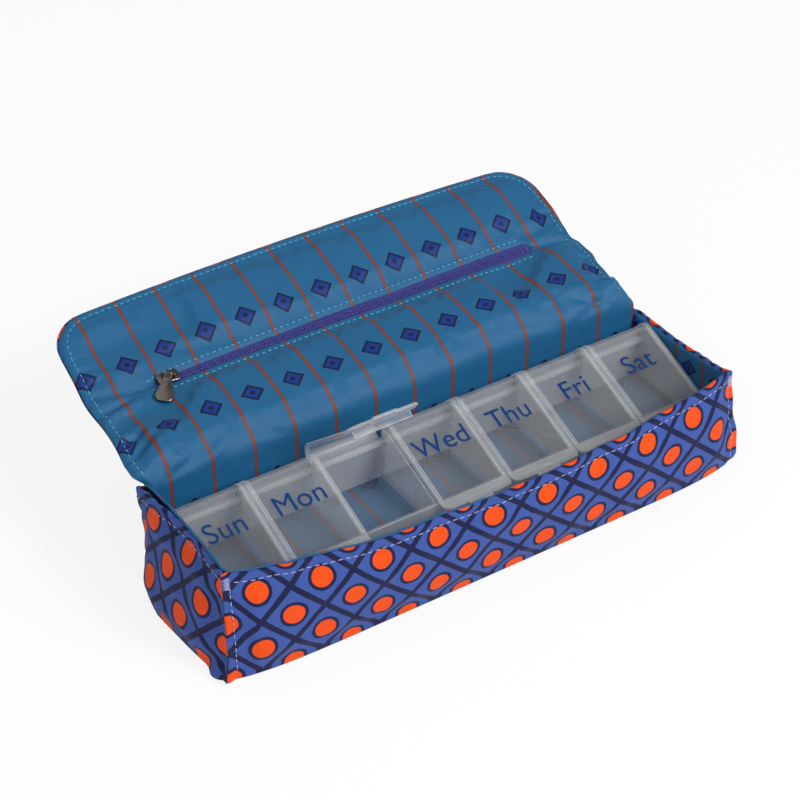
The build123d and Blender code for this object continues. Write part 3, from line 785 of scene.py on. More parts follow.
def flap_cloth(flap, cloth, lining):
    """The lower and upper panels of the lining, then those of the outer cloth."""
    low_run, high_run = flap.zip_run - BEND_END, flap.run - flap.zip_run

    def straight(x, run):
        """Where the pattern is across the cloth, straight whatever the edge does."""
        return x * flap.free_half / (flap.root_half + (flap.free_half - flap.root_half) * run / flap.run)

    def low_uv(u, v, point):
        row = v * LOW_ROWS
        if row < WALL_ROWS:
            return straight(point.x, 0.0), (row / WALL_ROWS - 1) * WALL_CLOTH
        if row < WALL_ROWS + BEND_ROWS:
            return straight(point.x, 0.0), (row - WALL_ROWS) / BEND_ROWS * BEND_CLOTH
        run = (row - WALL_ROWS - BEND_ROWS) / PANEL_ROWS * low_run
        return straight(point.x, run + BEND_END), BEND_CLOTH + run

    def high_uv(u, v, point):
        run = bunched(v) * high_run
        return straight(point.x, flap.zip_run + run), BEND_CLOTH + low_run + run

    def low_hold(u, v):
        row = v * LOW_ROWS
        edge = (0.5 - abs(u - 0.5)) * 2 * flap.root_half
        free = (1 - v) * LOW_ROWS / PANEL_ROWS * low_run
        loose = smooth((row - WALL_ROWS - BEND_ROWS * 0.4) / (BEND_ROWS * 0.6))
        loose *= 1 - pressed((2 * u - 1) * flap.root_half, flap.zip_run - free)
        return 1 - loose * unsewn(edge, free)

    def high_hold(u, v):
        edge = (0.5 - abs(u - 0.5)) * 2 * flap.free_half
        run = bunched(v) * high_run
        free = min(run, high_run - run - 1 * MM)
        reach = 17 * MM
        corner = min(edge, reach) + min(free, reach) - 14 * MM
        loose = 1 - pressed((2 * u - 1) * flap.free_half, flap.zip_run + run)
        return 1 - loose * unsewn(edge, free) * smooth(corner / (6 * MM))

    made = []
    for inside, word, finish in ((True, "lining", lining), (False, "outer", cloth)):
        def side(u):
            return u if inside else 1 - u
        for name, panel, rows, uv, hold, push in (
                ("flap_lower_", low_panel, LOW_ROWS, low_uv, low_hold, LOW_PUSH),
                ("flap_upper_", high_panel, TIP_ROWS, high_uv, high_hold, HIGH_PUSH)):
            bm, _ = cloth_grid(FLAP_COLUMNS, rows, lambda u, v: panel(flap, side(u), v, inside),
                               lambda u, v, point: uv(side(u), v, point), hold=hold)
            piece = object_from(bm, name + word, finish)
            if inside:
                settle(piece, *push)
            made.append(piece)
    return made


# Stitches, each as pitch, length and width
HEM_STITCH = (3.2 * MM, 2.7 * MM, 0.4 * MM)
CORNER_STITCH = (3.0 * MM, 2.4 * MM, 0.4 * MM)
BAR_STITCH = (2.9 * MM, 3.0 * MM, 0.4 * MM)
FLAP_STITCH = (2.9 * MM, 2.3 * MM, 0.4 * MM)


def stitch_row(bm, path, pitch, stitch, width):
    """Sews a row of short rounded stitches along a path of (point, normal) pairs."""
    walked, next_at = 0.0, pitch / 2
    for (a, na), (b, nb) in zip(path, path[1:]):
        step = (b - a).length
        while step > 0 and walked + step >= next_at:
            share = (next_at - walked) / step
            way = (b - a).normalized()
            normal = na.lerp(nb, share).normalized()
            across = normal.cross(way).normalized()
            normal = way.cross(across)
            turn = Matrix((way, across, normal)).transposed().to_4x4()
            place = Matrix.Translation(a.lerp(b, share) + normal * width * 0.25)
            size = Matrix.Diagonal((stitch / 2, width / 2, width / 2, 1.0))
            bmesh.ops.create_icosphere(bm, subdivisions=1, radius=1.0, matrix=place @ turn @ size)
            next_at += pitch
        walked += step


def surface_of(piece):
    """The surface of an object, to be searched for its points."""
    bm = bmesh.new()
    bm.from_mesh(piece.data)
    tree = BVHTree.FromBMesh(bm)
    bm.free()
    return tree


def on_cloth(cloth, points):
    """The nearest points of the settled cloth, each with its normal."""
    return [cloth.find_nearest(point)[:2] for point in points]


# Finishes
def scaled(shade, by):
    """A colour made darker or brighter."""
    return tuple(min(v * by, 1.0) for v in shade)


class Wiring:
    """A node tree while its nodes are wired."""

    def __init__(self, owner):
        owner.use_nodes = True
        self.tree = owner.node_tree

    def put(self, socket, value):
        if isinstance(value, bpy.types.NodeSocket):
            self.tree.links.new(value, socket)
        elif isinstance(value, (tuple, list)) and len(value) == 3 and socket.type == "RGBA":
            socket.default_value = (*value, 1.0)
        else:
            socket.default_value = value

    def node(self, kind, settings=None, inputs=None):
        made = self.tree.nodes.new("ShaderNode" + kind)
        for key, value in (settings or {}).items():
            setattr(made, key, value)
        for key, value in (inputs or {}).items():
            self.put(made.inputs[key], value)
        return made

    def math(self, operation, *values):
        return self.node("Math", {"operation": operation}, dict(enumerate(values))).outputs[0]

    def vector(self, operation, *values):
        made = self.node("VectorMath", {"operation": operation}, dict(enumerate(values)))
        return made.outputs["Value" if operation == "LENGTH" else "Vector"]

    def place(self, kind):
        return self.node("TexCoord").outputs[kind]

    def split(self, vector):
        return self.node("SeparateXYZ", None, {0: vector}).outputs

    def blend(self, share, first, second):
        made = self.node("Mix", {"data_type": "RGBA"}, {0: share, 6: first, 7: second})
        return made.outputs[2]

    def step(self, value, low, high, first=1.0, last=0.0):
        made = self.node("MapRange", {"interpolation_type": "SMOOTHSTEP"},
                         {"Value": value, "From Min": low, "From Max": high, "To Min": first, "To Max": last})
        return made.outputs["Result"]

    def grain(self, place, scale, detail=3.0, rough=0.6, twist=0.0):
        return self.node("TexNoise", None, {"Vector": place, "Scale": scale, "Detail": detail,
                                            "Roughness": rough, "Distortion": twist}).outputs["Fac"]

    def spread(self, value, low, high):
        made = self.node("MapRange", None, {"Value": value, "To Min": low, "To Max": high})
        return made.outputs["Result"]


class Finish(Wiring):
    """A material while its nodes are wired."""

    def __init__(self, name, **constants):
        self.material = bpy.data.materials.new(name)
        super().__init__(self.material)
        self.shader = self.tree.nodes["Principled BSDF"]
        self.finish(**constants)

    def through(self, share, first, second):
        """Shows a mix of two shaders in place of the one."""
        mix = self.node("MixShader", None, {0: share, 1: first, 2: second})
        self.put(self.tree.nodes["Material Output"].inputs[0], mix.outputs[0])

    def bump(self, height, distance, strength):
        made = self.node("Bump", None, {"Height": height, "Distance": distance, "Strength": strength})
        self.put(self.shader.inputs["Normal"], made.outputs["Normal"])

    def finish(self, **values):
        for key, value in values.items():
            self.put(self.shader.inputs[key.replace("_", " ")], value)
        return self.material


def weave(finish, place, pitch):
    """Height of a plain weave with threads of that pitch."""
    parts = finish.split(place)
    waves = [finish.math("SINE", finish.math("MULTIPLY", parts[k], 2 * pi / pitch)) for k in (0, 1)]
    return finish.math("MULTIPLY", *waves)


HALF_CELL = (0.5, 0.5, 0.0)


def faded(cloth, uv, scale, most, shade, by):
    """A ground colour that fades unevenly towards a darker one."""
    return cloth.blend(cloth.spread(cloth.grain(uv, scale), 0.0, most), shade, scaled(shade, by))


def cell_part(cloth, cell):
    """Where in its cell of the print a point lies, from the cell's middle."""
    return cloth.vector("SUBTRACT", cloth.vector("FRACTION", cell), HALF_CELL)


def wobbled(cloth, uv, scale, reach):
    """A map with a slight unevenness, as printed cloth has."""
    wobble = cloth.node("TexNoise", None, {"Vector": uv, "Scale": scale, "Detail": 2.0}).outputs["Color"]
    wobble = cloth.vector("SUBTRACT", wobble, (0.5, 0.5, 0.5))
    return cloth.vector("ADD", uv, cloth.vector("MULTIPLY", wobble, (reach, reach, 0.0)))


def crumpled(cloth, uv, thread, share, scale, rough, twist, depth):
    """Height of the weave on crumpled cloth."""
    crumple = cloth.grain(uv, scale, 5.0, rough, twist)
    return cloth.math("ADD", cloth.math("MULTIPLY", thread, share), cloth.math("MULTIPLY", crumple, depth))


def printed_cloth(colours):
    """Cotton print of bright dots in a dark trellis, with weave and soft fading."""
    cloth = Finish("printed_cloth", Sheen_Weight=0.06, Sheen_Roughness=0.5, Specular_IOR_Level=0.2)
    uv = cloth.place("UV")
    step = 0.0255
    cell = cloth.vector("MULTIPLY", wobbled(cloth, uv, 260.0, 0.0005), (1 / step, 1 / step, 0.0))
    first = cell_part(cloth, cell)
    second = cell_part(cloth, cloth.vector("ADD", cell, HALF_CELL))
    reach = cloth.math("MINIMUM", cloth.vector("LENGTH", first), cloth.vector("LENGTH", second))
    parts = cloth.split(cloth.vector("ABSOLUTE", first))
    lattice = cloth.math("ADD", parts[0], parts[1])
    lattice = cloth.math("ABSOLUTE", cloth.math("SUBTRACT", lattice, 0.5))
    shade = faded(cloth, uv, 60.0, 0.35, colours.outer, 0.72)
    for share, tone in ((cloth.step(lattice, 0.06, 0.07), colours.outer_dark),
                        (cloth.step(reach, 0.22, 0.23), colours.outer_dark),
                        (cloth.step(reach, 0.166, 0.176), colours.outer_bright)):
        shade = cloth.blend(share, shade, tone)
    thread = weave(cloth, uv, 0.0007)
    shade = cloth.blend(cloth.spread(thread, 0.0, 0.12), shade, (0.01, 0.01, 0.03))
    cloth.bump(crumpled(cloth, uv, thread, 0.1, 45.0, 0.5, 0.5, 2.0), 0.001, 0.45)
    return cloth.finish(Base_Color=shade, Roughness=cloth.spread(cloth.grain(uv, 300.0), 0.66, 0.86))


def lining_cloth(colours):
    """Smooth lining with fine stripes and rows of diamonds, slightly glossy along its threads."""
    cloth = Finish("lining_cloth", Sheen_Weight=0.06, Sheen_Roughness=0.4, Specular_IOR_Level=0.3)
    uv = cloth.place("UV")
    step, rise = 0.01827, 0.038
    place = cloth.vector("ADD", wobbled(cloth, uv, 200.0, 0.0003), (0.1055 + step / 2 + step * 20, 0.3, 0.0))
    cell = cloth.vector("MULTIPLY", place, (1 / step, 1 / rise, 0.0))
    across = cloth.split(cloth.vector("ABSOLUTE", cell_part(cloth, cell)))[0]
    shift = cell_part(cloth, cloth.vector("ADD", cell, (0.5, 0.0, 0.0)))
    flat = cloth.split(cloth.vector("ABSOLUTE", shift))
    diamond = cloth.math("ADD", flat[0], cloth.math("MULTIPLY", flat[1], rise / step))
    shade = faded(cloth, uv, 45.0, 0.4, colours.lining, 0.74)
    for value, low, high, tone in ((diamond, 0.27, 0.29, colours.motif_dark),
                                   (diamond, 0.2, 0.22, colours.motif),
                                   (diamond, 0.06, 0.08, colours.motif_dark),
                                   (across, 0.031, 0.042, scaled(colours.stripe, 0.45)),
                                   (across, 0.018, 0.027, colours.stripe)):
        shade = cloth.blend(cloth.step(value, low, high), shade, tone)
    thread = weave(cloth, uv, 0.0005)
    cloth.bump(crumpled(cloth, uv, thread, 0.06, 55.0, 0.55, 0.6, 2.2), 0.001, 0.5)
    return cloth.finish(Base_Color=shade, Roughness=cloth.spread(cloth.grain(uv, 260.0), 0.36, 0.54))


def thread_finish(name, shade):
    """Twisted sewing thread."""
    thread = Finish(name, Sheen_Weight=0.2)
    place = thread.place("Object")
    twist = thread.node("TexWave", {"bands_direction": "DIAGONAL"},
                        {"Vector": place, "Scale": 900.0, "Distortion": 1.0}).outputs["Fac"]
    thread.bump(twist, 0.0001, 0.4)
    tone = thread.blend(thread.spread(twist, 0.0, 0.3), shade, scaled(shade, 0.6))
    return thread.finish(Base_Color=tone, Roughness=thread.spread(thread.grain(place, 900.0), 0.5, 0.7))


def zip_finish(colours, name="zip_weave", bright=1.0):
    """Woven nylon of the tape and the teeth."""
    band = Finish(name, Sheen_Weight=0.15)
    full = scaled(colours.zip_cloth, bright)
    place = band.place("Object")
    fine = band.node("TexWave", {"bands_direction": "X"},
                     {"Vector": place, "Scale": 420.0, "Distortion": 1.5, "Detail": 1.0}).outputs["Fac"]
    shade = band.blend(fine, scaled(full, 0.45), full)
    band.bump(fine, 0.0002, 0.5)
    return band.finish(Base_Color=shade, Roughness=band.spread(band.grain(place, 500.0), 0.4, 0.6))


def plastic_finish(name, colours, low, high, grazing, bands=None):
    """Frosted clear plastic, milky where it is seen edge on.

    bands adds milkiness from the object's own coordinates."""
    clear = Finish(name, Specular_IOR_Level=0.5, IOR=1.49, Subsurface_Weight=0.7, Subsurface_Scale=4 * MM,
                   Subsurface_Radius=(1.0, 1.0, 1.0))
    place = clear.place("Object")
    facing = clear.node("LayerWeight", None, {"Blend": 0.35}).outputs["Facing"]
    cloud = clear.grain(place, 90.0, 4.0)
    edge = clear.math("POWER", facing, 2.0)
    alpha = clear.math("ADD", clear.math("MULTIPLY", edge, grazing), clear.spread(cloud, low, high))
    if bands:
        alpha = clear.math("ADD", alpha, bands(clear, place))
    shade = clear.blend(cloud, colours.plastic, scaled(colours.plastic, 0.9))
    clear.bump(clear.grain(place, 1500.0, 2.0), 0.00006, 0.25)
    glass = clear.node("BsdfTransparent", None, {"Color": (0.95, 0.953, 0.958)})
    clear.through(alpha, glass.outputs[0], clear.shader.outputs[0])
    return clear.finish(Base_Color=shade, Roughness=clear.spread(clear.grain(place, 400.0), 0.2, 0.34))


def lid_bands(clear, place):
    """Milkier along the hinge, the lip and the two sides of each lid."""
    low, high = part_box("lid_sunday")
    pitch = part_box("lid_monday")[0].x - low.x
    parts = clear.split(clear.vector("SUBTRACT", place, (low.x, LID_PIN.y, LID_PIN.z)))
    reach = clear.vector("LENGTH", clear.node("CombineXYZ", None, {1: parts[1], 2: parts[2]}).outputs[0])
    back = clear.step(reach, 6.0 * MM, 8.5 * MM, 0.2, 0.0)
    lip = clear.step(reach, LID_PIN.y - low.y - 7.5 * MM, LID_PIN.y - low.y - 5.0 * MM, 0.0, 0.17)
    edge = (high.x - low.x) / pitch / 2
    across = clear.math("FRACT", clear.math("MULTIPLY", parts[0], 1 / pitch))
    across = clear.math("ABSOLUTE", clear.math("SUBTRACT", across, edge))
    side = clear.step(across, edge - 0.08, edge - 0.045, 0.0, 0.13)
    return clear.math("MAXIMUM", clear.math("MAXIMUM", back, lip), side)


def label_finish(colours):
    """Printed ink, a little worn."""
    ink = Finish("label_ink", Specular_IOR_Level=0.2)
    worn = ink.grain(ink.place("Object"), 700.0, 4.0)
    shade = ink.blend(ink.spread(worn, 0.0, 0.3), colours.label, scaled(colours.label, 1.5))
    ink.bump(worn, 0.00005, 0.2)
    return ink.finish(Base_Color=shade, Roughness=ink.spread(worn, 0.35, 0.55))


def metal_finish(name, tone):
    """Dark plated metal with fine scratches."""
    dark = Finish(name, Metallic=1.0)
    place = dark.vector("MULTIPLY", dark.place("Object"), (300.0, 1800.0, 300.0))
    scratch = dark.grain(place, 1.0, 4.0, 0.5)
    shade = dark.blend(scratch, tone, scaled(tone, 0.55))
    dark.bump(scratch, 0.00008, 0.25)
    return dark.finish(Base_Color=shade, Roughness=dark.spread(scratch, 0.22, 0.42))


def finishes():
    """All finishes of the case, made once."""
    makers = {"printed_cloth": printed_cloth, "lining_cloth": lining_cloth, "zip_weave": zip_finish,
              "milky_lid": lambda c: plastic_finish("milky_lid", c, 0.03, 0.05, 0.3, lid_bands),
              "milky_floor": lambda c: plastic_finish("milky_floor", c, 0.03, 0.06, 0.2),
              "milky_wall": lambda c: plastic_finish("milky_wall", c, 0.17, 0.23, 0.3),
              "milky_edge": lambda c: plastic_finish("milky_edge", c, 0.3, 0.4, 0.3),
              "label_ink": label_finish, "dark_metal": lambda c: metal_finish("dark_metal", c.metal),
              # Edge finish of the slider and pull: the metal colour made 2.6 times brighter, a painted
              # highlight along the rounded edges
              "worn_metal": lambda c: metal_finish("worn_metal", scaled(c.metal, 2.6)),
              "zip_coil_weave": lambda c: zip_finish(c, "zip_coil_weave", 1.7),
              "pale_thread": lambda c: thread_finish("pale_thread", c.pale_thread),
              "blue_thread": lambda c: thread_finish("blue_thread", c.blue_thread)}
    colours = PlainColours(bpy.context.scene.pill_colours)
    return {name: bpy.data.materials.get(name) or make(colours) for name, make in makers.items()}


class PlainColours:
    """The chosen colours as plain tuples."""

    def __init__(self, group):
        for key in ColourSettings.__annotations__:
            setattr(self, key, tuple(getattr(group, key)))


def rounded_copy(node, name, width, plain, edge, wall=None, above=None):
    """A copy of a CAD node with its sharp outer edges rounded, in the edge finish.

    Upright faces take the wall finish, and only edges above a height are rounded, when these are given."""
    bm = bmesh.new()
    bm.from_mesh(frame["nodes"][node].data)
    bmesh.ops.remove_doubles(bm, verts=bm.verts, dist=0.000002)
    bmesh.ops.dissolve_limit(bm, angle_limit=radians(0.6), verts=bm.verts, edges=bm.edges)
    sharp = [e for e in bm.edges if len(e.link_faces) == 2 and e.calc_face_angle(0) > radians(32)
             and e.is_convex and (above is None or min(v.co.z for v in e.verts) > above)]
    if wall:
        for face in bm.faces:
            face.material_index = 2 if abs(face.normal.z) < 0.5 else 0
    true = BVHTree.FromBMesh(bm)
    made = bmesh.ops.bevel(bm, geom=sharp, offset=width, offset_type="OFFSET", affect="EDGES", segments=2,
                           profile=0.5, material=-1, clamp_overlap=False)
    for face in made["faces"]:
        face.material_index = 1
    for vert in bm.verts:
        spot, _, _, off = true.find_nearest(vert.co)
        if off > 0.4 * width:
            vert.co = spot
    piece = object_from(bm, name, plain, edge, *((wall,) if wall else ()))
    piece.data.set_sharp_from_angle(angle=radians(40))
    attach(piece, node)
    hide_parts(node)
    return piece


# Operators, and where the cloth bends between its bodies
LINING_BEND = ((0, 29.9 * MM, 45 * MM), (0, 40.5 * MM, 56 * MM))
OUTER_BEND = ((0, 34.6 * MM, 41 * MM), (0, 43.5 * MM, 52 * MM))
TIP_BEND_RUNS = (73 * MM, 81 * MM)


def tip_bend(flap):
    """Where the bend of the tip begins and ends."""
    return [(0, *flap_middle(flap, run)[:2]) for run in TIP_BEND_RUNS]


class PILLCASE_OT_case(bpy.types.Operator):
    """Sews the padded case: outer shell, lining, rim and corner stitches."""
    bl_idname = "pillcase.case"
    bl_label = "Sewn case"

    def execute(self, context):
        sizes = context.scene.pill_case
        made = finishes()
        outer, inner = case_cloth(sizes, made["printed_cloth"], made["lining_cloth"])
        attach(outer, "case")
        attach(inner, "case")
        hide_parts("base_outer", "base_board", "base_foam", "front_outer", "front_padding",
                    "front_magnets", "back_outer", "back_board", "left_end_outer", "left_end_padding",
                    "right_end_outer", "right_end_padding")
        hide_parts("base_lining", "front_lining", "left_end_lining", "right_end_lining")
        self.stitches(sizes, made["pale_thread"], surface_of(outer))
        return {"FINISHED"}

    def stitches(self, sizes, thread, cloth):
        """Sews the hem, the front corners and their bars."""
        bm = bmesh.new()

        def hem(side, t):
            z = rim_height(side, t) - sizes.rim_width / 2 - HEM_DROP
            return case_point(sizes, side, t, z, hem_inset(sizes, HEM_DROP))

        for side in (0, 1, 3):
            line = [hem(side, -0.965 + 1.93 * k / 120) for k in range(121)]
            stitch_row(bm, on_cloth(cloth, line), *HEM_STITCH)
        for side, t in ((0, -0.978), (0, 0.978)):
            line = [case_point(sizes, side, t, 5 * MM + 38 * MM * k / 39, 0.0) for k in range(40)]
            stitch_row(bm, on_cloth(cloth, line), *CORNER_STITCH)
        for side, t in ((0, -0.985), (0, 0.985), (1, -0.94), (1, 0.93)):
            rim, half = rim_height(side, t), HALF_LENGTH if side == 0 else HALF_DEPTH
            for k in range(9):
                ends = [case_point(sizes, side, t + way * 1.5 * MM / half, rim - (2.2 + 0.55 * k) * MM, 0.0)
                        for way in ((-1, 1) if k % 2 else (1, -1))]
                stitch_row(bm, on_cloth(cloth, ends), *BAR_STITCH)
        piece = object_from(bm, "case_stitches", thread)
        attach(piece, "case")


class PILLCASE_OT_flap(bpy.types.Operator):
    """Sews the flap: padded panels below and above the zip, on both sides, with their stitches."""
    bl_idname = "pillcase.flap"
    bl_label = "Padded flap"

    def execute(self, context):
        flap = context.scene.pill_flap
        made = finishes()
        low_in, high_in, low_out, high_out = flap_cloth(flap, made["printed_cloth"], made["lining_cloth"])
        for piece, ends in ((low_in, LINING_BEND), (low_out, OUTER_BEND)):
            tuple(ends[0])
            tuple(ends[1])
            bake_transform(piece)
        start, end = tip_bend(flap)
        for piece in (high_in, high_out):
            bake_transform(piece)
            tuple(start)
            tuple(end)
        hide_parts("back_lining", "hinge_fold", "flap_lining_lower", "pocket_bag")
        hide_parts("flap_outer", "flap_board")
        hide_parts("flap_lining_upper", "flap_tip_lining")
        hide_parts("flap_tip_outer", "flap_tip_board", "flap_magnets")
        self.stitches(flap, made["blue_thread"], start, end, surface_of(low_in), surface_of(high_in))
        return {"FINISHED"}

    def stitches(self, flap, thread, start, end, low_cloth, high_cloth):
        """Sews the sides, the free edge and both sides of the zip."""
        low, high = bmesh.new(), bmesh.new()
        first = (WALL_ROWS + BEND_ROWS * 0.5) / LOW_ROWS
        sides = [[(0.5 + side * 0.4868, first + (0.995 - first) * k / 60) for k in range(61)]
                 for side in (-1, 1)]
        around = [self.inside_edge(flap, k / 200, 3.2 * MM) for k in range(201)]

        def beside_zip(v):
            return [(0.5 + 0.392 * (k / 60 - 1), v) for k in range(121)]

        for bm, cloth, panel, rows in ((low, low_cloth, low_panel, (*sides, beside_zip(1 - 2.2 / 34.0))),
                                       (high, high_cloth, high_panel, (around, beside_zip(0.0415)))):
            for spots in rows:
                line = on_cloth(cloth, [panel(flap, *spot, True) for spot in spots])
                stitch_row(bm, line, *FLAP_STITCH)
        piece = object_from(low, "flap_lower_stitches", thread)
        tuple(LINING_BEND[0])
        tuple(LINING_BEND[1])
        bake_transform(piece)
        piece = object_from(high, "flap_upper_stitches", thread)
        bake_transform(piece)
        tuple(start)
        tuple(end)

    def inside_edge(self, flap, share, inset):
        """The two shares of the point at a share of the way round the free edge, set in by the inset."""
        half, corner = flap.free_half - inset, flap.corner - inset
        side = flap.run - flap.corner - flap.zip_run
        arc = corner * pi / 2
        mirror = share > 0.5
        half += 0.0 if mirror else flap.left_ease
        top = 2 * (half - corner)
        at = share * (2 * side + 2 * arc + top)
        if mirror:
            at = 2 * side + 2 * arc + top - at
        if at < side:
            x, run = None, flap.zip_run + at
        elif at < side + arc:
            turn = (at - side) / corner
            x = half - corner + corner * cos(turn)
            run = flap.run - flap.corner + corner * sin(turn)
        else:
            x = half - corner - (at - side - arc)
            run = free_run(flap, x / flap.free_half) - inset
        wide = flap_half(flap, run, mirror)
        if x is None:
            x = wide - inset
        part = (run - flap.zip_run) / (free_run(flap, x / wide) - flap.zip_run)
        low, high = 0.0, 1.0
        for _ in range(24):
            mid = (low + high) / 2
            if bunched(mid) < part:
                low = mid
            else:
                high = mid
        across = min(x / wide, 1.0) * (1 if mirror else -1)
        return 0.5 + across / 2, low


TOOTH_PITCH = 1.3 * MM
TOOTH_SIZE = (0.44 * MM, 0.8 * MM, 0.42 * MM, 1)
STOP_SIZE = (1.2 * MM, 3.4 * MM, 1.0 * MM, 1)
METAL_ROUNDING, TRAY_ROUNDING, LID_ROUNDING = 0.28 * MM, 0.3 * MM, 0.32 * MM


class PILLCASE_OT_zip(bpy.types.Operator):
    """Makes the zip's woven band and its rows of teeth, and finishes the slider and pull."""
    bl_idname = "pillcase.zip"
    bl_label = "Zip"

    def execute(self, context):
        flap = context.scene.pill_flap
        made = finishes()

        def place(u, v):
            x = (u - 0.5) * 2 * (flap.zip_half + 3.2 * MM)
            point, up, _ = flap_frame(flap, flap.zip_run + (v - 0.5) * 11 * MM)
            point.x = x
            return point + up * 0.15 * MM

        bm, _ = cloth_grid(120, 12, place, lambda u, v, point: (u * 0.18, v * 0.011))
        band = object_from(bm, "zip_band", made["zip_weave"])
        thicken(band, 0.35 * MM)
        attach(band, "flap")
        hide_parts("zip_tape_lower", "zip_tape_upper")
        bm = bmesh.new()
        middle, _, slope = flap_frame(flap, flap.zip_run)
        lay = Matrix.Translation(middle) @ Matrix.Rotation(slope, 4, "X")
        for k in range(int(2 * flap.zip_half / TOOTH_PITCH)):
            x = -flap.zip_half + (k + 0.5) * TOOTH_PITCH
            if x < -flap.zip_half + flap.zip_start:
                continue
            for row in (-1, 1):
                spot = Vector((x + 0.24 * MM * row, row * 0.85 * MM, 0.45 * MM))
                turn = Matrix.Rotation(radians(28 * row), 4, "Z")
                at = lay @ Matrix.Translation(spot) @ turn @ Matrix.Diagonal(TOOTH_SIZE)
                bmesh.ops.create_icosphere(bm, subdivisions=1, radius=1.0, matrix=at)
        for end in (-1, 1):
            x = end * (flap.zip_half + 0.6 * MM) + (flap.zip_start if end < 0 else 0.0)
            at = lay @ Matrix.Translation((x, 0, 0.4 * MM)) @ Matrix.Diagonal(STOP_SIZE)
            box = bmesh.ops.create_cube(bm, size=1.0, matrix=at)["verts"]
            bmesh.ops.bevel(bm, geom=list({e for v in box for e in v.link_edges}), offset=0.3 * MM,
                            affect="EDGES", segments=3, profile=0.5, material=-1)
        teeth = object_from(bm, "zip_teeth", made["zip_coil_weave"])
        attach(teeth, "flap")
        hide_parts("zip_coil", "zip_stops")
        # The rounded edges of the slider and pull take the brightened metal, a painted highlight
        for node, name in (("zip_slider", "slider_body"), ("zip_pull_tab", "slider_pull")):
            piece = rounded_copy(node, name, METAL_ROUNDING, made["dark_metal"], made["worn_metal"])
        return {"FINISHED"}


LABEL_SIZE, LABEL_DEPTH = 12.5 * MM, 0.04 * MM
# Share of the way from the lid's front to its back at which the label's middle lies
LABEL_PLACE = 0.72
TUESDAY_OPEN = radians(-61)


class PILLCASE_OT_strip(bpy.types.Operator):
    """Finishes the clear strip and prints a day on each lid."""
    bl_idname = "pillcase.strip"
    bl_label = "Strip of seven boxes"

    def execute(self, context):
        made = finishes()
        low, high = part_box("tray")
        tray = rounded_copy("tray", "clear_tray", TRAY_ROUNDING, made["milky_floor"], made["milky_edge"],
                            made["milky_wall"], low.z + 0.45 * (high.z - low.z))
        for day in DAYS:
            piece = rounded_copy("lid_" + day, "clear_lid_" + day, LID_ROUNDING,
                                 made["milky_lid"], made["milky_edge"])
        lid = surface_of(frame["nodes"]["lid_sunday"])
        low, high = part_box("lid_sunday")
        middle = (low.x + high.x) / 2
        spots = []
        for y in (-9 * MM, 9 * MM):
            point = lid.ray_cast(Vector((middle + 2.1 * MM, y, 0.2)), Vector((0, 0, -1)))[0]
            if point is None:
                raise RuntimeError("the lid has no top to print on")
            spots.append(point)
        slope = spots[1] - spots[0]
        slope = Vector((0, slope.y, slope.z)).normalized()
        normal = Vector((1, 0, 0)).cross(slope)
        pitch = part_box("lid_monday")[0].x - low.x
        for k, day in enumerate(DAYS):
            text = bpy.data.curves.new("label_" + day, "FONT")
            text.body = day[:3].capitalize()
            text.size = LABEL_SIZE
            text.extrude = LABEL_DEPTH
            text.align_x = text.align_y = "CENTER"
            text.space_character = 1.02
            raw = bpy.data.objects.new("label_raw", text)
            mesh = bpy.data.meshes.new_from_object(raw)
            bpy.data.objects.remove(raw)
            turn = Matrix((Vector((1, 0, 0)), slope, normal)).transposed().to_4x4()
            centre = spots[0].lerp(spots[1], LABEL_PLACE)
            centre.x = middle + k * pitch
            place = Matrix.Translation(centre + normal * 0.06 * MM) @ turn
            if day == "tuesday":
                pin = Vector((0, LID_PIN.y, LID_PIN.z))
                swing = Matrix.Rotation(TUESDAY_OPEN, 4, "X")
                place = Matrix.Translation(pin) @ swing @ Matrix.Translation(-pin) @ place
            mesh.transform(place)
            mesh.materials.clear()
            mesh.materials.append(made["label_ink"])
            label = bpy.data.objects.new("label_" + day, mesh)
            context.scene.collection.objects.link(label)
            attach(label, "lid_" + day)
        return {"FINISHED"}


# Lamps as name, place, size and power, and the point that the camera looks at
LAMPS = (("key", (0.55, -1.25, 1.15), 0.8, 27.0), ("fill", (-1.2, -0.3, 0.8), 1.2, 4.5),
         ("top", (0.0, 0.4, 1.6), 1.2, 4.0))
CAMERA_TARGET = Vector((6.67, 44.84, 30.0)) * MM


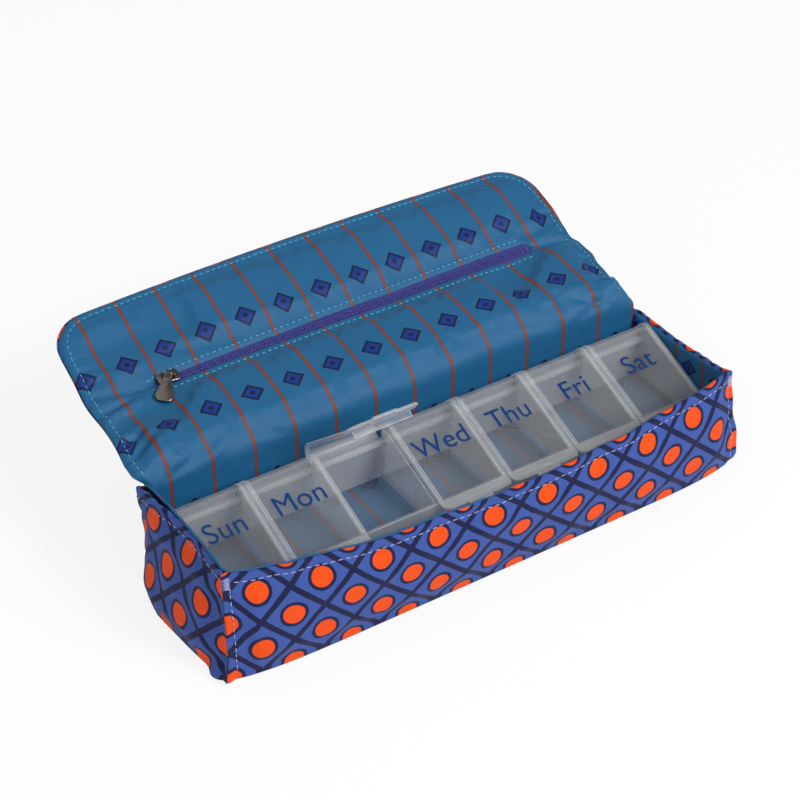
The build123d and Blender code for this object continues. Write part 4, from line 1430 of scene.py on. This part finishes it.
class PILLCASE_OT_stage(bpy.types.Operator):
    """Lays the pale floor and sets the lamps and the camera."""
    bl_idname = "pillcase.stage"
    bl_label = "Floor, lamps and camera"

    def execute(self, context):
        stage = context.scene.pill_stage
        scene = context.scene
        scene.view_settings.view_transform = "Standard"
        bm = bmesh.new()
        bmesh.ops.create_grid(bm, x_segments=4, y_segments=4, size=3.0)
        floor = object_from(bm, "floor", self.floor_finish(tuple(stage.floor)))
        floor.location.z = cad_box[0][2] - 0.0002
        self.world(scene)
        for lamp in LAMPS:
            self.lamp(*lamp)
        camera = bpy.data.cameras.new("camera")
        camera.lens = stage.lens
        camera.sensor_width = 36.0
        camera.clip_start = 0.01
        view = bpy.data.objects.new("camera", camera)
        scene.collection.objects.link(view)
        back = Vector((sin(stage.azimuth) * cos(stage.elevation), -cos(stage.azimuth) * cos(stage.elevation),
                       sin(stage.elevation)))
        view.location = CAMERA_TARGET + back * stage.distance
        view.rotation_euler = (-back).to_track_quat("-Z", "Y").to_euler()
        scene.camera = view
        return {"FINISHED"}

    def floor_finish(self, shade):
        """White to the camera, with most of its shadow kept."""
        made = Finish("floor", Base_Color=shade, Roughness=0.9)
        light = made.node("Emission", None, {"Color": (1.0, 1.0, 1.0), "Strength": 1.0})
        ray = made.node("LightPath").outputs
        seen = made.math("MAXIMUM", ray["Is Camera Ray"],
                         made.math("MAXIMUM", ray["Is Glossy Ray"], ray["Is Transmission Ray"]))
        made.through(made.math("MULTIPLY", seen, 0.85), made.shader.outputs[0], light.outputs[0])
        made.bump(made.grain(made.place("Object"), 300.0), 0.0002, 0.05)
        return made.material

    def world(self, scene):
        """A plain white studio, dimmer as a light than as a background."""
        scene.world = bpy.data.worlds.new("studio")
        wires = Wiring(scene.world)
        ray = wires.node("LightPath").outputs
        seen = wires.math("MAXIMUM", ray["Is Camera Ray"], ray["Is Transmission Ray"])
        sky = wires.tree.nodes["Background"].inputs
        wires.put(sky["Color"], (1.0, 1.0, 1.0))
        wires.put(sky["Strength"], wires.spread(seen, 0.26, 1.0))

    def lamp(self, name, place, size, power):
        """A round lamp that faces the case."""
        data = bpy.data.lights.new(name, "AREA")
        data.shape = "DISK"
        data.size = size
        data.energy = power
        lamp = bpy.data.objects.new(name, data)
        bpy.context.scene.collection.objects.link(lamp)
        lamp.location = place
        lamp.rotation_euler = (Vector((0, 0.03, 0.03)) - Vector(place)).to_track_quat("-Z", "Y").to_euler()


class PILLCASE_PT_panel(bpy.types.Panel):
    """Lists the steps that dress the case."""
    bl_idname = "PILLCASE_PT_panel"
    bl_label = "Pill case"
    bl_space_type = "VIEW_3D"
    bl_region_type = "UI"
    bl_category = "Pill case"

    def draw(self, context):
        for step in STEPS:
            self.layout.operator(step.bl_idname)
        for group in GROUPS:
            settings = getattr(context.scene, group)
            column = self.layout.column(heading=group)
            for key in GROUPS[group].__annotations__:
                column.prop(settings, key)


GROUPS = {"pill_case": CaseSettings, "pill_flap": FlapSettings, "pill_colours": ColourSettings,
          "pill_stage": StageSettings}
STEPS = (PILLCASE_OT_case, PILLCASE_OT_flap, PILLCASE_OT_zip, PILLCASE_OT_strip, PILLCASE_OT_stage)


def register():
    for cls in (*GROUPS.values(), *STEPS, PILLCASE_PT_panel):
        bpy.utils.register_class(cls)
    for name, cls in GROUPS.items():
        setattr(bpy.types.Scene, name, PointerProperty(type=cls))


def unregister():
    for name in GROUPS:
        delattr(bpy.types.Scene, name)
    for cls in (PILLCASE_PT_panel, *reversed(STEPS), *reversed(GROUPS.values())):
        bpy.utils.unregister_class(cls)


def main():
    register()
    bpy.ops.pillcase.case()
    bpy.ops.pillcase.flap()
    bpy.ops.pillcase.zip()
    bpy.ops.pillcase.strip()
    bpy.ops.pillcase.stage()


if __name__ == "__main__":
    main()
